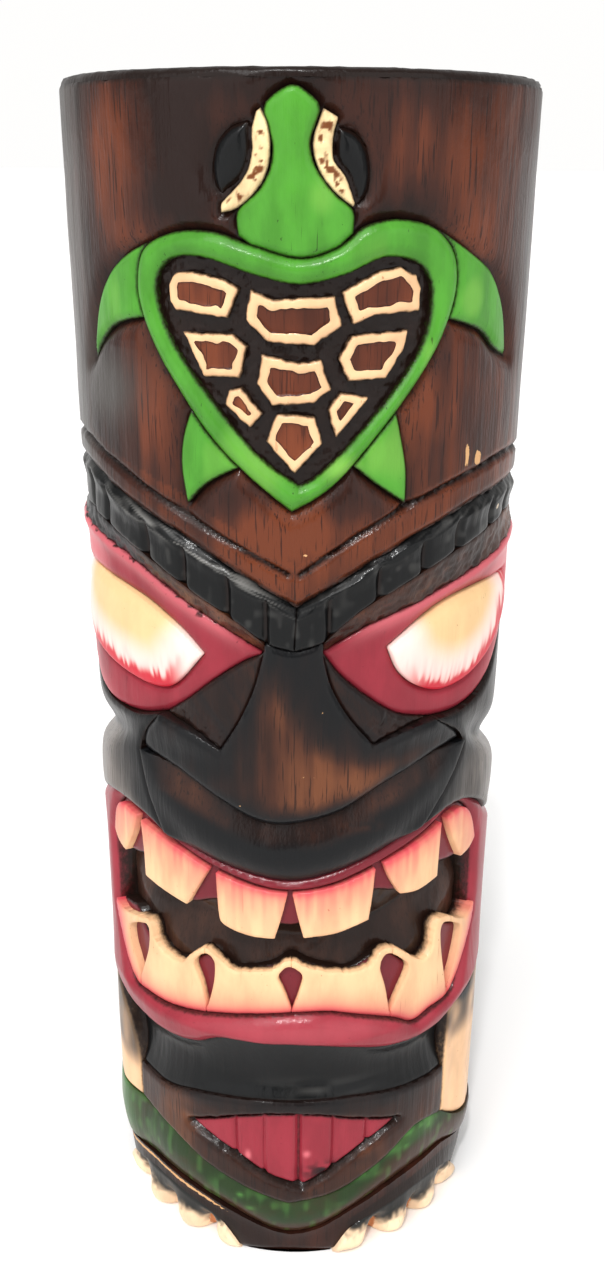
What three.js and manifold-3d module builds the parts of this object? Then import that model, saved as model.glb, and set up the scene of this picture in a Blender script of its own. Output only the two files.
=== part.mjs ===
// Carved wooden tiki mug: a round log, bored from the top for a steel liner, with a turtle and a
// toothed mask carved in relief round the front. Each coloured relief is its own inlay in the log.
//
// Millimetres, +Z up, the face looks along -Y, the origin is the centre of the flat base.
// Carving coordinates: [s, z] is a spot on the unrolled log, s along the girth from the front
// centre line (towards +X) and z its height; d is the distance out of the log's plain surface.

import * as THREE from 'three';
import { mergeVertices } from 'three/addons/utils/BufferGeometryUtils.js';
import { TessellateModifier } from 'three/addons/modifiers/TessellateModifier.js';
import Module from 'manifold-3d';

// ---------------------------------------------------------------- driving dimensions

const HEIGHT = 200;            // base to rim
const TOP_RADIUS = 36.8;       // log radius at the rim
const TAPER_RADIUS = 34.3;     // radius the straight taper would reach at the base
const FOOT_INSET = 2.5;        // how far the foot curves in under the taper
const FOOT_RISE = 16;          // height over which it curves in
const RIM_CHAMFER = 1.2;
const GIRTH_RADIUS = 35.5;     // radius at which s is measured
const LOG_SIDES = 80;

const BORE_RADIUS = 27.5;
const BORE_FLOOR = 90;
const LINER_WALL = 0.8;
const LINER_TOP = HEIGHT - 3;
const LINER_SIDES = 48;

const GAP = 0.3;               // clearance between neighbouring pieces
const BACK_GAP = 0.4;          // clearance between an inlay and the seat behind it
const FACET = 8;               // widest facet on a curved face
const PLAIN = 0.3;             // width to height of the facets on a plain face
const SHAPED = 1;              // and on a shaped one
const CURVE_STEP = 5;          // spacing of points along a curved outline
const CLEAR = 4;               // how far a cutting tool stands out of the log
const BEYOND = 0.3;            // how far a sloped tool's rim stands out, past its own facets

// depths of the relief layers
const TURTLE_SEAT = -2.2;
const TURTLE_FACE = 0.2;
const TRENCH_WIDTH = 2.2;
const HEAD_TRENCH_WIDTH = 0.6;
const SCUTE_FACE = -0.3;
const SCUTE_PANEL = 0.35;      // depth of the sunk middle of a scute
const MASK_SEAT = -5.3;
const MASK_EDGE = 66;          // the mask ends this far round each side
const BROW_FACE = 0.3;
const SOCKET_FACE = -3.3;
const EYE_RIM = -2.9;
const EYE_CROWN = -1.7;
const EYE_RISE = 2.9;
const EYE_POCKET = -4.1;
const THROAT_DEPTH = -8;
const FOOT_FACE = -0.3;

// ---------------------------------------------------------------- materials

const COLOURS = {
  wood: [0x4f2615, 0.35, 0],
  cream: [0xf0d6ab, 0.4, 0],
  green: [0x4ba32e, 0.35, 0],
  crimson: [0xa3293c, 0.35, 0],
  black: [0x17181b, 0.3, 0],
  brown: [0x5d3019, 0.4, 0],
  charcoal: [0x47433f, 0.5, 0],
  olive: [0x33451f, 0.4, 0],
  steel: [0xc4c7ca, 0.25, 1],
};

function material(name) {
  const [color, roughness, metalness] = COLOURS[name];
  return new THREE.MeshStandardMaterial({ color, roughness, metalness, flatShading: true });
}

// ---------------------------------------------------------------- solids

const wasm = await Module();
wasm.setup();

function toSolid(geometry) {
  geometry.deleteAttribute('normal');
  geometry.deleteAttribute('uv');
  const merged = mergeVertices(geometry, 1e-4);
  return new wasm.Manifold(new wasm.Mesh({
    numProp: 3,
    vertProperties: merged.attributes.position.array,
    triVerts: Uint32Array.from(merged.index.array),
  }));
}

function toGeometry(solid) {
  const mesh = solid.getMesh();
  const geometry = new THREE.BufferGeometry();
  geometry.setAttribute('position', new THREE.Float32BufferAttribute(mesh.vertProperties, 3));
  geometry.setIndex(Array.from(mesh.triVerts));
  geometry.computeVertexNormals();
  return geometry;
}

function logRadius(z) {
  const taper = TAPER_RADIUS + (TOP_RADIUS - TAPER_RADIUS) * z / HEIGHT;
  const tuck = Math.max(0, 1 - z / FOOT_RISE);
  return taper - FOOT_INSET * tuck * tuck;
}

function onLog(s, z, d) {
  const angle = s / GIRTH_RADIUS;
  const radius = logRadius(z) + d;
  return new THREE.Vector3(radius * Math.sin(angle), -radius * Math.cos(angle), z);
}

function wrapOnLog(geometry, depthAt) {
  const position = geometry.attributes.position;
  for (let i = 0; i < position.count; i += 1) {
    const s = position.getX(i);
    const z = position.getY(i);
    const spot = onLog(s, z, depthAt(s, z, position.getZ(i)));
    position.setXYZ(i, spot.x, spot.y, spot.z);
  }
  return geometry;
}

// An outline is made of runs. Each run is a smooth curve; the runs meet in corners.
function outline(...runs) {
  const points = [];
  for (const run of runs) {
    const curve = new THREE.SplineCurve(run.map(([s, z]) => new THREE.Vector2(s, z)));
    const steps = Math.max(run.length - 1, Math.round(curve.getLength() / CURVE_STEP));
    points.push(...curve.getPoints(steps));
  }
  return tidy(points);
}

function polygon(corners) {
  return tidy(corners.map(([s, z]) => new THREE.Vector2(s, z)));
}

function tidy(points) {
  const kept = points.filter((p, i) => p.distanceTo(points[(i + 1) % points.length]) > 0.2);
  return THREE.ShapeUtils.area(kept) < 0 ? kept.reverse() : kept;
}

// The outline moved outwards by a distance, corner by corner.
function grow(points, distance) {
  return points.map((p, i) => {
    const before = points[(i + points.length - 1) % points.length];
    const after = points[(i + 1) % points.length];
    const inDir = p.clone().sub(before).normalize();
    const outDir = after.clone().sub(p).normalize();
    const normal = new THREE.Vector2(inDir.y + outDir.y, -inDir.x - outDir.x).normalize();
    const half = Math.max(0.6, normal.x * inDir.y - normal.y * inDir.x);
    return p.clone().addScaledVector(normal, distance / half);
  });
}

// Splits long edges so the faces can bend round the log. Facets may be taller than wide, as the
// log is straight up and down, unless the face is shaped.
function split(geometry, squat) {
  geometry.scale(1, squat, 1);
  const fine = new TessellateModifier(FACET, 14).modify(geometry);
  return fine.scale(1, 1 / squat, 1);
}

// A slab of log surface inside an outline, from depth inner out to depth outer.
function slab(points, inner, outer, holes = []) {
  const shape = new THREE.Shape(points);
  shape.holes = holes.map((hole) => new THREE.Path(hole));
  const flat = new THREE.ExtrudeGeometry(shape, { depth: 1, bevelEnabled: false });
  const fine = split(flat, typeof outer === 'function' ? SHAPED : PLAIN);
  const innerAt = typeof inner === 'function' ? inner : () => inner;
  const outerAt = typeof outer === 'function' ? outer : () => outer;
  return toSolid(wrapOnLog(fine, (s, z, layer) => (layer > 0.5 ? outerAt : innerAt)(s, z)));
}

// A trench whose floor is the outline and whose sides slope out to the surface.
function slopedCut(points, floor, spread) {
  const flat = new THREE.ExtrudeGeometry(new THREE.Shape(points), {
    depth: CLEAR,
    bevelEnabled: true,
    bevelThickness: -floor,
    bevelSize: spread,
    bevelOffset: GAP,
    bevelSegments: 1,
  });
  const lift = (layer) => (layer > floor / 2 ? layer + BEYOND : layer);
  return toSolid(wrapOnLog(split(flat, PLAIN), (s, z, layer) => lift(layer)));
}

function turned(profile, sides) {
  const points = profile.map(([radius, z]) => new THREE.Vector2(radius, z));
  const geometry = new THREE.LatheGeometry(points, sides);
  geometry.rotateX(Math.PI / 2);
  return toSolid(geometry);
}

// ---------------------------------------------------------------- the assembly

const pieces = [];

function place(name, colour, solid) {
  pieces.push({ name, colour, solid });
}

function cut(tool, ...names) {
  for (const piece of pieces) {
    if (names.includes(piece.name)) {
      piece.solid = piece.solid.subtract(tool);
    }
  }
}

// ---------------------------------------------------------------- log and liner

function placeLog() {
  const side = [];
  for (const z of [0, 3, 7, FOOT_RISE]) {
    side.push([logRadius(z), z]);
  }
  side.push([logRadius(HEIGHT - RIM_CHAMFER), HEIGHT - RIM_CHAMFER]);
  side.push([TOP_RADIUS - RIM_CHAMFER, HEIGHT]);
  const bore = [[BORE_RADIUS, HEIGHT], [BORE_RADIUS, BORE_FLOOR]];
  place('log_body', 'wood', turned([[0, 0], ...side, ...bore, [0, BORE_FLOOR]], LOG_SIDES));
}

function placeLiner() {
  const outside = BORE_RADIUS - GAP;
  const inside = outside - LINER_WALL;
  const bottom = BORE_FLOOR + GAP;
  place('liner_cup', 'steel', turned([
    [0, bottom],
    [outside - 2, bottom],
    [outside, bottom + 2],
    [outside, LINER_TOP - 0.6],
    [outside - 0.4, LINER_TOP],
    [inside, LINER_TOP - 0.4],
    [inside, bottom + LINER_WALL + 1.6],
    [inside - 1.6, bottom + LINER_WALL],
    [0, bottom + LINER_WALL],
  ], LINER_SIDES));
}

// ---------------------------------------------------------------- turtle

const SHELL_OUTER = outline(
  [[-1, 141], [-7, 145.8], [-12.5, 151], [-18, 158], [-21.5, 163], [-24, 168], [-24.8, 172.5],
    [-23.2, 177], [-18, 179.3], [-12, 179.5], [-6, 177.7], [0, 176.3], [5, 177.6], [9, 180.4],
    [14, 181.2], [19.5, 179.9], [23, 176.5], [23.6, 171.5], [21.5, 165.5], [18, 160],
    [12, 152.6], [5, 144.8], [-1, 141]],
);

const SHELL_INNER = outline(
  [[0, 144.9], [-6, 149.3], [-13, 157.2], [-19, 165], [-21.2, 171.5], [-19, 175.5],
    [-13.5, 176.1], [-6, 173.9], [0, 172.8], [6, 174], [12, 176.3], [17.5, 174.9],
    [19.3, 170.5], [17.4, 163.2], [10, 153.8], [3, 146.6], [0, 144.9]],
);

const HEAD = outline(
  [[-8.4, 179], [-8.5, 182.2], [-5.6, 184.8], [-4, 187.6], [-3.7, 190.8], [-4.8, 194.9],
    [-3.2, 196.8], [-1, 197.8], [1, 196.8], [2.5, 194.9], [1.3, 191], [2, 187.8],
    [4.6, 184.4], [7.1, 182.4], [7.2, 179.4]],
  [[7.2, 179.4], [0, 174.5], [-8.4, 179]],
);

// The seat cut round the head and both eyes together.
const HEAD_SEAT = outline(
  [[-8.8, 176], [-9.2, 181], [-12.2, 184], [-12.6, 189], [-9.8, 193.2], [-5.8, 195.6],
    [-3.8, 197.3], [-1.1, 198.2], [1.5, 197.3], [3.4, 195.6], [7.6, 193], [9.9, 189], [9.4, 184],
    [7.8, 180], [7.4, 176]],
  [[7.4, 176], [-8.8, 176]],
);

const EYELID_LEFT = outline(
  [[-5.2, 195], [-4.3, 193.2], [-3.9, 190.6], [-4.3, 187.4], [-5.8, 184.8], [-8.4, 182.6],
    [-10.6, 182]],
  [[-10.6, 183.2], [-7.6, 186.2], [-6.4, 189], [-6.3, 192.6], [-5.7, 194.6]],
);

const EYELID_RIGHT = outline(
  [[2.9, 195], [1.6, 191], [2.3, 187.6], [4.3, 184.9], [7, 182.8]],
  [[7.2, 183.3], [5.9, 186.6], [4.3, 188.6], [4.2, 191.4], [4.8, 193.9]],
);

const TURTLE_EYE_LEFT = outline(
  [[-6.9, 193.4], [-9.2, 192.7], [-11.2, 190.8], [-12, 188], [-11.6, 185.4], [-10.7, 184.4]],
  [[-10.7, 184.4], [-7.9, 186.6], [-6.8, 189.2], [-6.9, 193.4]],
);

const TURTLE_EYE_RIGHT = outline(
  [[4.9, 192.7], [6.8, 192.2], [8.6, 190.4], [9.4, 187.4], [9, 184.6], [7.7, 183.2]],
  [[7.7, 183.2], [6.3, 186.8], [4.7, 188.9], [4.9, 192.7]],
);

const FRONT_FLIPPER_LEFT = outline(
  [[-22, 178], [-27, 176], [-31.5, 173], [-35.5, 168], [-38.4, 160.2]],
  [[-38.4, 160.2], [-35, 163.2], [-30, 166.2], [-22, 167.9]],
);

const FRONT_FLIPPER_RIGHT = outline(
  [[20, 179.8], [27, 176.2], [32, 173.3], [36.4, 168], [39, 160.8]],
  [[39, 160.8], [34, 162.6], [29.5, 165.6], [20.5, 168.2]],
);

const REAR_FLIPPER_LEFT = outline(
  [[-15.6, 156], [-17.4, 151], [-17.8, 146.5], [-17, 141.2]],
  [[-17, 141.2], [-13.5, 144.7], [-8, 147.6]],
);

const REAR_FLIPPER_RIGHT = outline(
  [[13.9, 156], [15.2, 151], [16.1, 146.5], [16.2, 141.5]],
  [[16.2, 141.5], [11.5, 144.7], [7.2, 148.2]],
);

const SCUTES = {
  scute_top_left: [[-18.9, 170], [-19, 172.4], [-17.9, 174], [-15, 174.3], [-10, 173.2],
    [-8.2, 172.2], [-10, 168.2], [-17.8, 168.9]],
  scute_top_middle: [[-6.7, 172], [-3.6, 170.8], [4.8, 171.3], [5.8, 167.3], [2, 164.7],
    [-4.4, 165], [-7.5, 168]],
  scute_top_right: [[5.7, 171.8], [11, 174.6], [14, 175], [16.5, 173.8], [17.4, 172],
    [17.2, 169], [10.5, 168.6], [7.3, 167.4]],
  scute_middle_left: [[-16.8, 166], [-9.4, 166], [-7.2, 164.5], [-8.4, 160], [-13.8, 160]],
  scute_middle: [[-5.3, 163.4], [0, 162.3], [3, 162.7], [4.4, 158.6], [2, 156.7], [-3.8, 156.4],
    [-5.9, 159.3]],
  scute_middle_right: [[7.2, 166], [15.5, 166.5], [15, 164], [12.3, 159.9], [6.8, 159.7],
    [5.3, 162.8]],
  scute_low_left: [[-10, 158.3], [-8.2, 158.7], [-5.2, 155.2], [-7, 153], [-10.6, 156.2]],
  scute_low_right: [[4, 155.8], [5.8, 158.2], [9.9, 157.4], [5.2, 151.7]],
  scute_tail: [[-3.2, 155.2], [2.3, 154.9], [3.3, 151], [-0.6, 146.6], [-4.7, 151.2]],
};

function placeTurtle() {
  for (const seat of [SHELL_OUTER, FRONT_FLIPPER_LEFT, FRONT_FLIPPER_RIGHT, REAR_FLIPPER_LEFT,
    REAR_FLIPPER_RIGHT]) {
    cut(slopedCut(seat, TURTLE_SEAT, TRENCH_WIDTH), 'log_body');
  }
  cut(slopedCut(HEAD_SEAT, TURTLE_SEAT, HEAD_TRENCH_WIDTH), 'log_body');
  const base = TURTLE_SEAT + BACK_GAP;
  place('turtle_head', 'green', slab(HEAD, base, TURTLE_FACE));
  place('turtle_eye_left', 'black', slab(TURTLE_EYE_LEFT, base, TURTLE_FACE));
  place('turtle_eye_right', 'black', slab(TURTLE_EYE_RIGHT, base, TURTLE_FACE));
  cut(slab(grow(EYELID_LEFT, GAP), base - 1, CLEAR), 'turtle_head', 'turtle_eye_left');
  cut(slab(grow(EYELID_RIGHT, GAP), base - 1, CLEAR), 'turtle_head', 'turtle_eye_right');
  place('turtle_eyelid_left', 'cream', slab(EYELID_LEFT, base, TURTLE_FACE));
  place('turtle_eyelid_right', 'cream', slab(EYELID_RIGHT, base, TURTLE_FACE));
  place('front_flipper_left', 'green', slab(FRONT_FLIPPER_LEFT, base, TURTLE_FACE));
  place('front_flipper_right', 'green', slab(FRONT_FLIPPER_RIGHT, base, TURTLE_FACE));
  place('rear_flipper_left', 'green', slab(REAR_FLIPPER_LEFT, base, TURTLE_FACE));
  place('rear_flipper_right', 'green', slab(REAR_FLIPPER_RIGHT, base, TURTLE_FACE));
  cut(slab(grow(SHELL_OUTER, GAP), base - 1, CLEAR), 'turtle_head', 'front_flipper_left',
    'front_flipper_right', 'rear_flipper_left', 'rear_flipper_right');
  place('turtle_shell_rim', 'green', slab(SHELL_OUTER, base, TURTLE_FACE + 0.3, [SHELL_INNER]));
  for (const [name, corners] of Object.entries(SCUTES)) {
    placeScute(name, polygon(corners), base);
  }
}

function placeScute(name, points, base) {
  place(name, 'cream', slab(points, base, SCUTE_FACE));
  cut(slab(grow(points, -1.3), SCUTE_FACE - SCUTE_PANEL, CLEAR), name);
}

// ---------------------------------------------------------------- lines the mask pieces share

// Brow, from the side of the head to the middle.
const BROW_TOP_L = [[-MASK_EDGE, 142.6], [-48, 143.8], [-40, 143.4], [-30, 140.3], [-20, 137],
  [-10, 132], [-0.2, 126.4]];
const BROW_TOP_R = [[MASK_EDGE, 140], [48, 140.6], [40, 140.7], [30, 139.7], [20, 137], [10, 132.4],
  [-0.2, 126.4]];
const BROW_LOW_L = [[-MASK_EDGE, 135.6], [-48, 136.2], [-40, 135.4], [-30, 133.3], [-20, 129.2],
  [-10, 123.9], [-5.2, 120.4]];
const BROW_LOW_R = [[MASK_EDGE, 134.6], [45, 135.3], [35, 134.2], [25, 132], [15, 128.2], [9, 125],
  [4, 120.7]];

// Upper and lower edges of the eye sockets; the inner corners sit against the nose.
const CORNER_L = [-5.5, 118.3];
const CORNER_R = [3.9, 118.6];
const EYE_TOP_L = [[-MASK_EDGE, 134.2], [-50, 134], [-42, 132.6], [-33, 130.4], [-25, 127.2],
  [-15, 123], CORNER_L];
const EYE_TOP_R = [[MASK_EDGE, 131.6], [50, 131.4], [39.5, 129.2], [30.5, 127], [20, 124.5],
  [12, 122.3], CORNER_R];
const EYE_LOW_L = [CORNER_L, [-10, 115.9], [-15, 112.5], [-20, 108.6], [-25, 105.3]];
const EYE_LOW_R = [CORNER_R, [7, 114.6], [12, 110.4], [18, 106.6], [25, 104.6]];
const EYE_SIDE_L = [[-25, 105.3], [-31, 103.6], [-37, 103.2], [-42, 103.8], [-46, 105.6], [-50, 110.2],
  [-55, 116.4], [-MASK_EDGE, 123.4]];
const EYE_SIDE_R = [[25, 104.6], [31, 104.2], [37, 105.4], [42, 108.4], [45.6, 112.6], [48.6, 117],
  [54, 120], [MASK_EDGE, 122]];

// Nose: its flanks, the ledges under the eyes, its wide lower edge and the two ends.
const NOSE_TOP = [[-5.2, 120.4], [-0.6, 119.4], [4, 120.7]];
const FLANK_L = [CORNER_L, [-7, 112.6], [-9.6, 106.8], [-12.8, 101.8]];
const FLANK_R = [CORNER_R, [5.2, 113.4], [8.2, 108], [12.4, 102.9]];
const LEDGE_L = [[-12.8, 101.8], [-18, 104], [-25, 105.3]];
const LEDGE_R = [[12.4, 102.9], [19, 104.3], [25, 104.6]];
const NOSE_LOW = [[-30.5, 97.6], [-21, 96], [-13, 92.6], [-6, 89.8], [0, 89.9], [7, 91.6],
  [15, 95.4], [25, 98.2], [33.5, 98.6]];
const NOSE_END_L = [[-25, 105.3], [-29, 101], [-30.5, 97.6]];
const NOSE_END_R = [[25, 104.6], [31, 101], [33.5, 98.6]];

// Outer edge of the lips, side, middle, side, and the ends of the roll above them.
const LIP_TOP_L = [[-MASK_EDGE, 79], [-50, 82.8], [-44, 85.4], [-38, 86.4], [-31, 85.8], [-25, 84]];
const LIP_TOP_M = [[-25, 84], [-15, 81], [-6, 79.2], [0, 78.8], [7, 80.2], [15, 82.8], [23, 86]];
const LIP_TOP_R = [[23, 86], [30, 87.4], [36, 86.6], [43, 83.2], [50, 78.6], [MASK_EDGE, 74]];
const ROLL_END_L = [[-25, 84], [-28.5, 90.6], [-30.5, 97.6]];
const ROLL_END_R = [[33.5, 98.6], [29.6, 93], [23, 86]];
const LIP_LOW_R = [[MASK_EDGE, 48.6], [50, 47.6], [43, 46.4], [34.6, 44.2]];
const LIP_LOW_M = [[34.6, 44.2], [30, 43], [24, 42.8], [17, 43.9], [9, 46.2], [2, 47.4],
  [-6, 47.4], [-14, 46.9], [-20, 43.9], [-28, 42.7], [-38, 43], [-44.6, 44.2]];
const LIP_LOW_L = [[-44.6, 44.2], [-52, 45.4], [-MASK_EDGE, 47]];

// Mouth opening.
const MOUTH_TOP = [[-45.4, 76], [-41.5, 83.4], [-37, 85], [-31, 84.4], [-24, 82.2], [-15, 79.4],
  [-6, 77.2], [0, 76.8], [7, 77.9], [15, 80.4], [22, 82.6], [29, 85.1], [34, 86], [38.6, 83.6],
  [42, 76.4]];
const MOUTH_LOW = [[42.4, 60], [40.5, 57], [36.6, 51], [33.6, 48.2], [28, 47.8], [23.6, 46.9],
  [19, 49.2], [12, 51.6], [5, 53.2], [-5, 52.6], [-15, 51], [-25, 49.3], [-32, 49], [-37, 49.2],
  [-41, 53.4], [-45.4, 62]];
const GUM_EDGE_TOP = [[-45.4, 76], [-38.6, 74.8], [-31.6, 76], [-26, 73.2], [-21.4, 70.9],
  [-15, 72.5], [-8, 70.6], [-1, 69.3], [7, 71.6], [14.2, 74.6], [20, 73.6], [26, 74.6],
  [28.8, 76], [35.6, 75], [42, 76.4]];
const GUM_EDGE_LOW = [[-45.4, 62], [-41, 63], [-37.5, 63.4], [-33.4, 60], [-28, 58.6],
  [-22, 59.4], [-17.4, 61.6], [-12, 60.2], [-5, 61.4], [-1, 63.2], [3, 61.8], [10, 60.4],
  [15, 62], [18, 62.4], [24, 58.4], [29, 59.6], [31, 63.4], [36, 61.6], [42.4, 60]];

// Chin and skirt, with the ends of the side panels.
const PANEL_S_L = -37.7;
const PANEL_S_R = 34.4;
const PANEL_FRONT_L = [[PANEL_S_L, 30.5], [-38.6, 34.6], [-41, 39.4], [-44.6, 44.2]];
const CHIN_LOW_M = [[PANEL_S_L, 30.5], [-28, 31], [-20, 33], [-10, 34.4], [0, 34.8], [10, 35],
  [18, 33.8], [26, 32.6], [PANEL_S_R, 31.8]];
const SKIRT_TOP_L = [[-MASK_EDGE, 19.6], [-46, 21.6], [PANEL_S_L, 22.8]];
const SKIRT_TOP_ML = [[PANEL_S_L, 22.8], [-33, 22.6], [-26, 21.2], [-15, 16.8], [-1.5, 12.4]];
const SKIRT_TOP_MR = [[-1.5, 12.4], [8, 14.6], [18, 19.2], [26, 23], [PANEL_S_R, 21.4]];
const SKIRT_TOP_R = [[PANEL_S_R, 21.4], [44, 16], [MASK_EDGE, 13]];
const SKIRT_LOW = [[-MASK_EDGE, 8], [-46, 10], [-34, 12], [-22, 11.4], [-12, 8.6], [-3, 4.8], [4, 5.6],
  [12, 10], [22, 13.6], [34, 14], [44, 11.4], [MASK_EDGE, 9]];

function reversed(run) {
  return run.slice().reverse();
}

// A piece of the mask: an outline drawn along shared lines, drawn in by half the clearance.
function tile(name, colour, runs, outer, holes = []) {
  const edge = grow(outline(...runs), -GAP / 2);
  place(name, colour, slab(edge, MASK_SEAT + BACK_GAP, outer, holes));
}

// Height of a shared line at s.
function heightAt(line, s) {
  const run = line[0][0] < line[line.length - 1][0] ? line : reversed(line);
  for (let i = 1; i < run.length; i += 1) {
    if (s <= run[i][0] || i === run.length - 1) {
      const share = (s - run[i - 1][0]) / (run[i][0] - run[i - 1][0]);
      return THREE.MathUtils.lerp(run[i - 1][1], run[i][1], THREE.MathUtils.clamp(share, 0, 1));
    }
  }
  return run[0][1];
}

// Depth of a flat facet through three [s, z, d] corners.
function facetThrough(a, b, c) {
  const corners = [a, b, c].map(([s, z, d]) => new THREE.Vector3(s, z, d));
  const plane = new THREE.Plane().setFromCoplanarPoints(...corners);
  return (s, z) => -(plane.normal.x * s + plane.normal.y * z + plane.constant) / plane.normal.z;
}

function cutMaskSeat() {
  const seat = outline(
    BROW_TOP_L,
    reversed(BROW_TOP_R),
    [[MASK_EDGE, 140], [MASK_EDGE, 9]],
    reversed(SKIRT_LOW),
    [[-MASK_EDGE, 8], [-MASK_EDGE, 142.6]],
  );
  cut(slab(grow(seat, GAP), MASK_SEAT, CLEAR), 'log_body');
}

// ---------------------------------------------------------------- brow

const BROW_NOTCHES_L = [-47.5, -36.5, -26, -18.5, -11.5, -5.2];
const BROW_NOTCHES_R = [4.8, 12.6, 20.2, 27.2, 36.4, 44.5];
const NOTCH_WIDTH = 1.5;
const NOTCH_DEPTH = 1.4;

const HAIRLINE_L = [[-55, 147.4], [-45, 148.2], [-35, 146.3], [-25, 142.8], [-12, 137],
  [-1.6, 131.6]];
const HAIRLINE_R = [[0.2, 131.6], [10, 138], [20, 142.3], [30, 144.8], [42, 145.8],
  [55, 144.8]];
const HAIRLINE_WIDTH = 0.9;
const HAIRLINE_DEPTH = -1.1;

// The ledge under the brow slopes back from the brow to the eye socket.
function ledgeDepth(low, eye) {
  return (s, z) => {
    const top = heightAt(low, s);
    const share = (top - z) / (top - heightAt(eye, s));
    return THREE.MathUtils.lerp(-0.5, socketDepth(s) + 0.3, THREE.MathUtils.clamp(share, 0, 1));
  };
}

function placeBrow() {
  cut(groove(HAIRLINE_L, HAIRLINE_WIDTH, HAIRLINE_DEPTH), 'log_body');
  cut(groove(HAIRLINE_R, HAIRLINE_WIDTH, HAIRLINE_DEPTH), 'log_body');
  const middle = [[-0.2, 126.4], [-0.6, 119.4]];
  const [noseLeft, noseMiddle, noseRight] = NOSE_TOP;
  tile('brow_left', 'black', [BROW_TOP_L, middle, [noseMiddle, noseLeft], reversed(BROW_LOW_L)],
    BROW_FACE);
  tile('brow_right', 'black', [BROW_TOP_R, middle, [noseMiddle, noseRight], reversed(BROW_LOW_R)],
    BROW_FACE);
  tile('brow_ledge_left', 'brown', [BROW_LOW_L, [noseLeft, CORNER_L], reversed(EYE_TOP_L)],
    ledgeDepth(BROW_LOW_L, EYE_TOP_L));
  tile('brow_ledge_right', 'brown', [BROW_LOW_R, [noseRight, CORNER_R], reversed(EYE_TOP_R)],
    ledgeDepth(BROW_LOW_R, EYE_TOP_R));
  notchBrow('brow_left', BROW_NOTCHES_L, BROW_TOP_L, -1);
  notchBrow('brow_right', BROW_NOTCHES_R, BROW_TOP_R, 1);
}

// Slanted saw notches split the brow into blocks.
function notchBrow(name, places, top, side) {
  for (const s of places) {
    const lean = side * 0.8;
    const high = heightAt(top, s) + 2;
    const low = high - 14;
    const tool = polygon([[s - lean, low], [s - lean + NOTCH_WIDTH, low],
      [s + lean + NOTCH_WIDTH, high], [s + lean, high]]);
    cut(slab(tool, BROW_FACE - NOTCH_DEPTH, CLEAR), name);
  }
}

// A narrow cut that follows a curve on the surface.
function groove(points, width, depth) {
  const upper = points.map(([s, z]) => [s, z + width / 2]);
  const lower = points.map(([s, z]) => [s, z - width / 2]).reverse();
  return slab(outline(upper, lower), depth, CLEAR);
}

// ---------------------------------------------------------------- eyes

const EYEBALL_L = outline(
  [[-16.8, 116.6], [-22, 120.4], [-30, 123.6], [-38, 125.2], [-46, 125.8], [-53, 124.8]],
  [[-53, 124.8], [-51.4, 119.4], [-46, 114.2], [-40, 111.6], [-34, 110], [-28, 109.2],
    [-23, 110.4], [-16.8, 116.6]],
);

const EYEBALL_R = outline(
  [[15.8, 118], [22, 121.6], [28, 123.7], [35, 124.6], [42, 124.6], [48.4, 124.4]],
  [[48.4, 124.4], [45.8, 119.8], [42.4, 115.4], [38.4, 111.8], [33.4, 109.4], [27.6, 108.8],
    [22, 110.6], [18, 113.8], [15.8, 118]],
);

// Both eyes rise from deep beside the nose to the log's own surface at the sides.
function eyeRise(s) {
  return EYE_RISE * THREE.MathUtils.smoothstep(Math.abs(s), 24, 50);
}

function socketDepth(s) {
  return SOCKET_FACE + eyeRise(s);
}

// Depth of a lens-shaped swelling.
function swelling(middle, halfWidth, halfHeight) {
  return (s, z) => {
    const across = (s - middle[0]) / halfWidth;
    const up = (z - middle[1]) / halfHeight;
    const dome = Math.max(0, 1 - across * across - up * up);
    return EYE_RIM + (EYE_CROWN - EYE_RIM) * dome + eyeRise(s);
  };
}

function placeEyes() {
  placeEye('left', [EYE_LOW_L, EYE_SIDE_L, [[-MASK_EDGE, 123.4], [-MASK_EDGE, 134.2]], EYE_TOP_L],
    EYEBALL_L, swelling([-33, 117.5], 19, 9));
  placeEye('right', [EYE_LOW_R, EYE_SIDE_R, [[MASK_EDGE, 122], [MASK_EDGE, 131.6]], EYE_TOP_R],
    EYEBALL_R, swelling([31, 117.5], 18, 9));
}

// The eyeball lies in a pocket of its socket.
function placeEye(side, socket, eyeball, depth) {
  tile(`eye_socket_${side}`, 'crimson', socket, socketDepth);
  cut(slab(grow(eyeball, GAP), EYE_POCKET, CLEAR), `eye_socket_${side}`);
  place(`eyeball_${side}`, 'cream', slab(eyeball, EYE_POCKET + BACK_GAP, depth));
}

// ---------------------------------------------------------------- nose, cheeks and upper lip

function noseDepth(s, z) {
  const bridge = Math.max(0, (z - 108) / 10);
  const flank = Math.min(1, Math.abs(s) / 32);
  return -0.9 * bridge - 1.2 * flank * flank;
}

// The roll swells between the nose and the lips.
function rollDepth(s, z) {
  const top = heightAt(NOSE_LOW, s);
  const low = heightAt(LIP_TOP_M, s);
  const share = THREE.MathUtils.clamp((z - low) / (top - low), 0, 1);
  return -2.4 + 1.9 * Math.sin(Math.PI * share ** 0.8);
}

// A groove runs up and in from the waist of the log, between the side of the eye and the cheek.
const WAIST_L = [[-MASK_EDGE, 93], [-50, 95.4], [-42, 97.6], [-33, 100]];
const WAIST_R = [[MASK_EDGE, 90.5], [50, 93.4], [42, 96.4], [33, 99.6]];

function cheekDepth(s, z) {
  const side = THREE.MathUtils.smoothstep(Math.abs(s), 30, 42);
  const offset = (z - heightAt(s < 0 ? WAIST_L : WAIST_R, s)) / 3.2;
  return -0.8 + 0.6 * side - 2.2 * side * Math.exp(-offset * offset);
}

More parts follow.
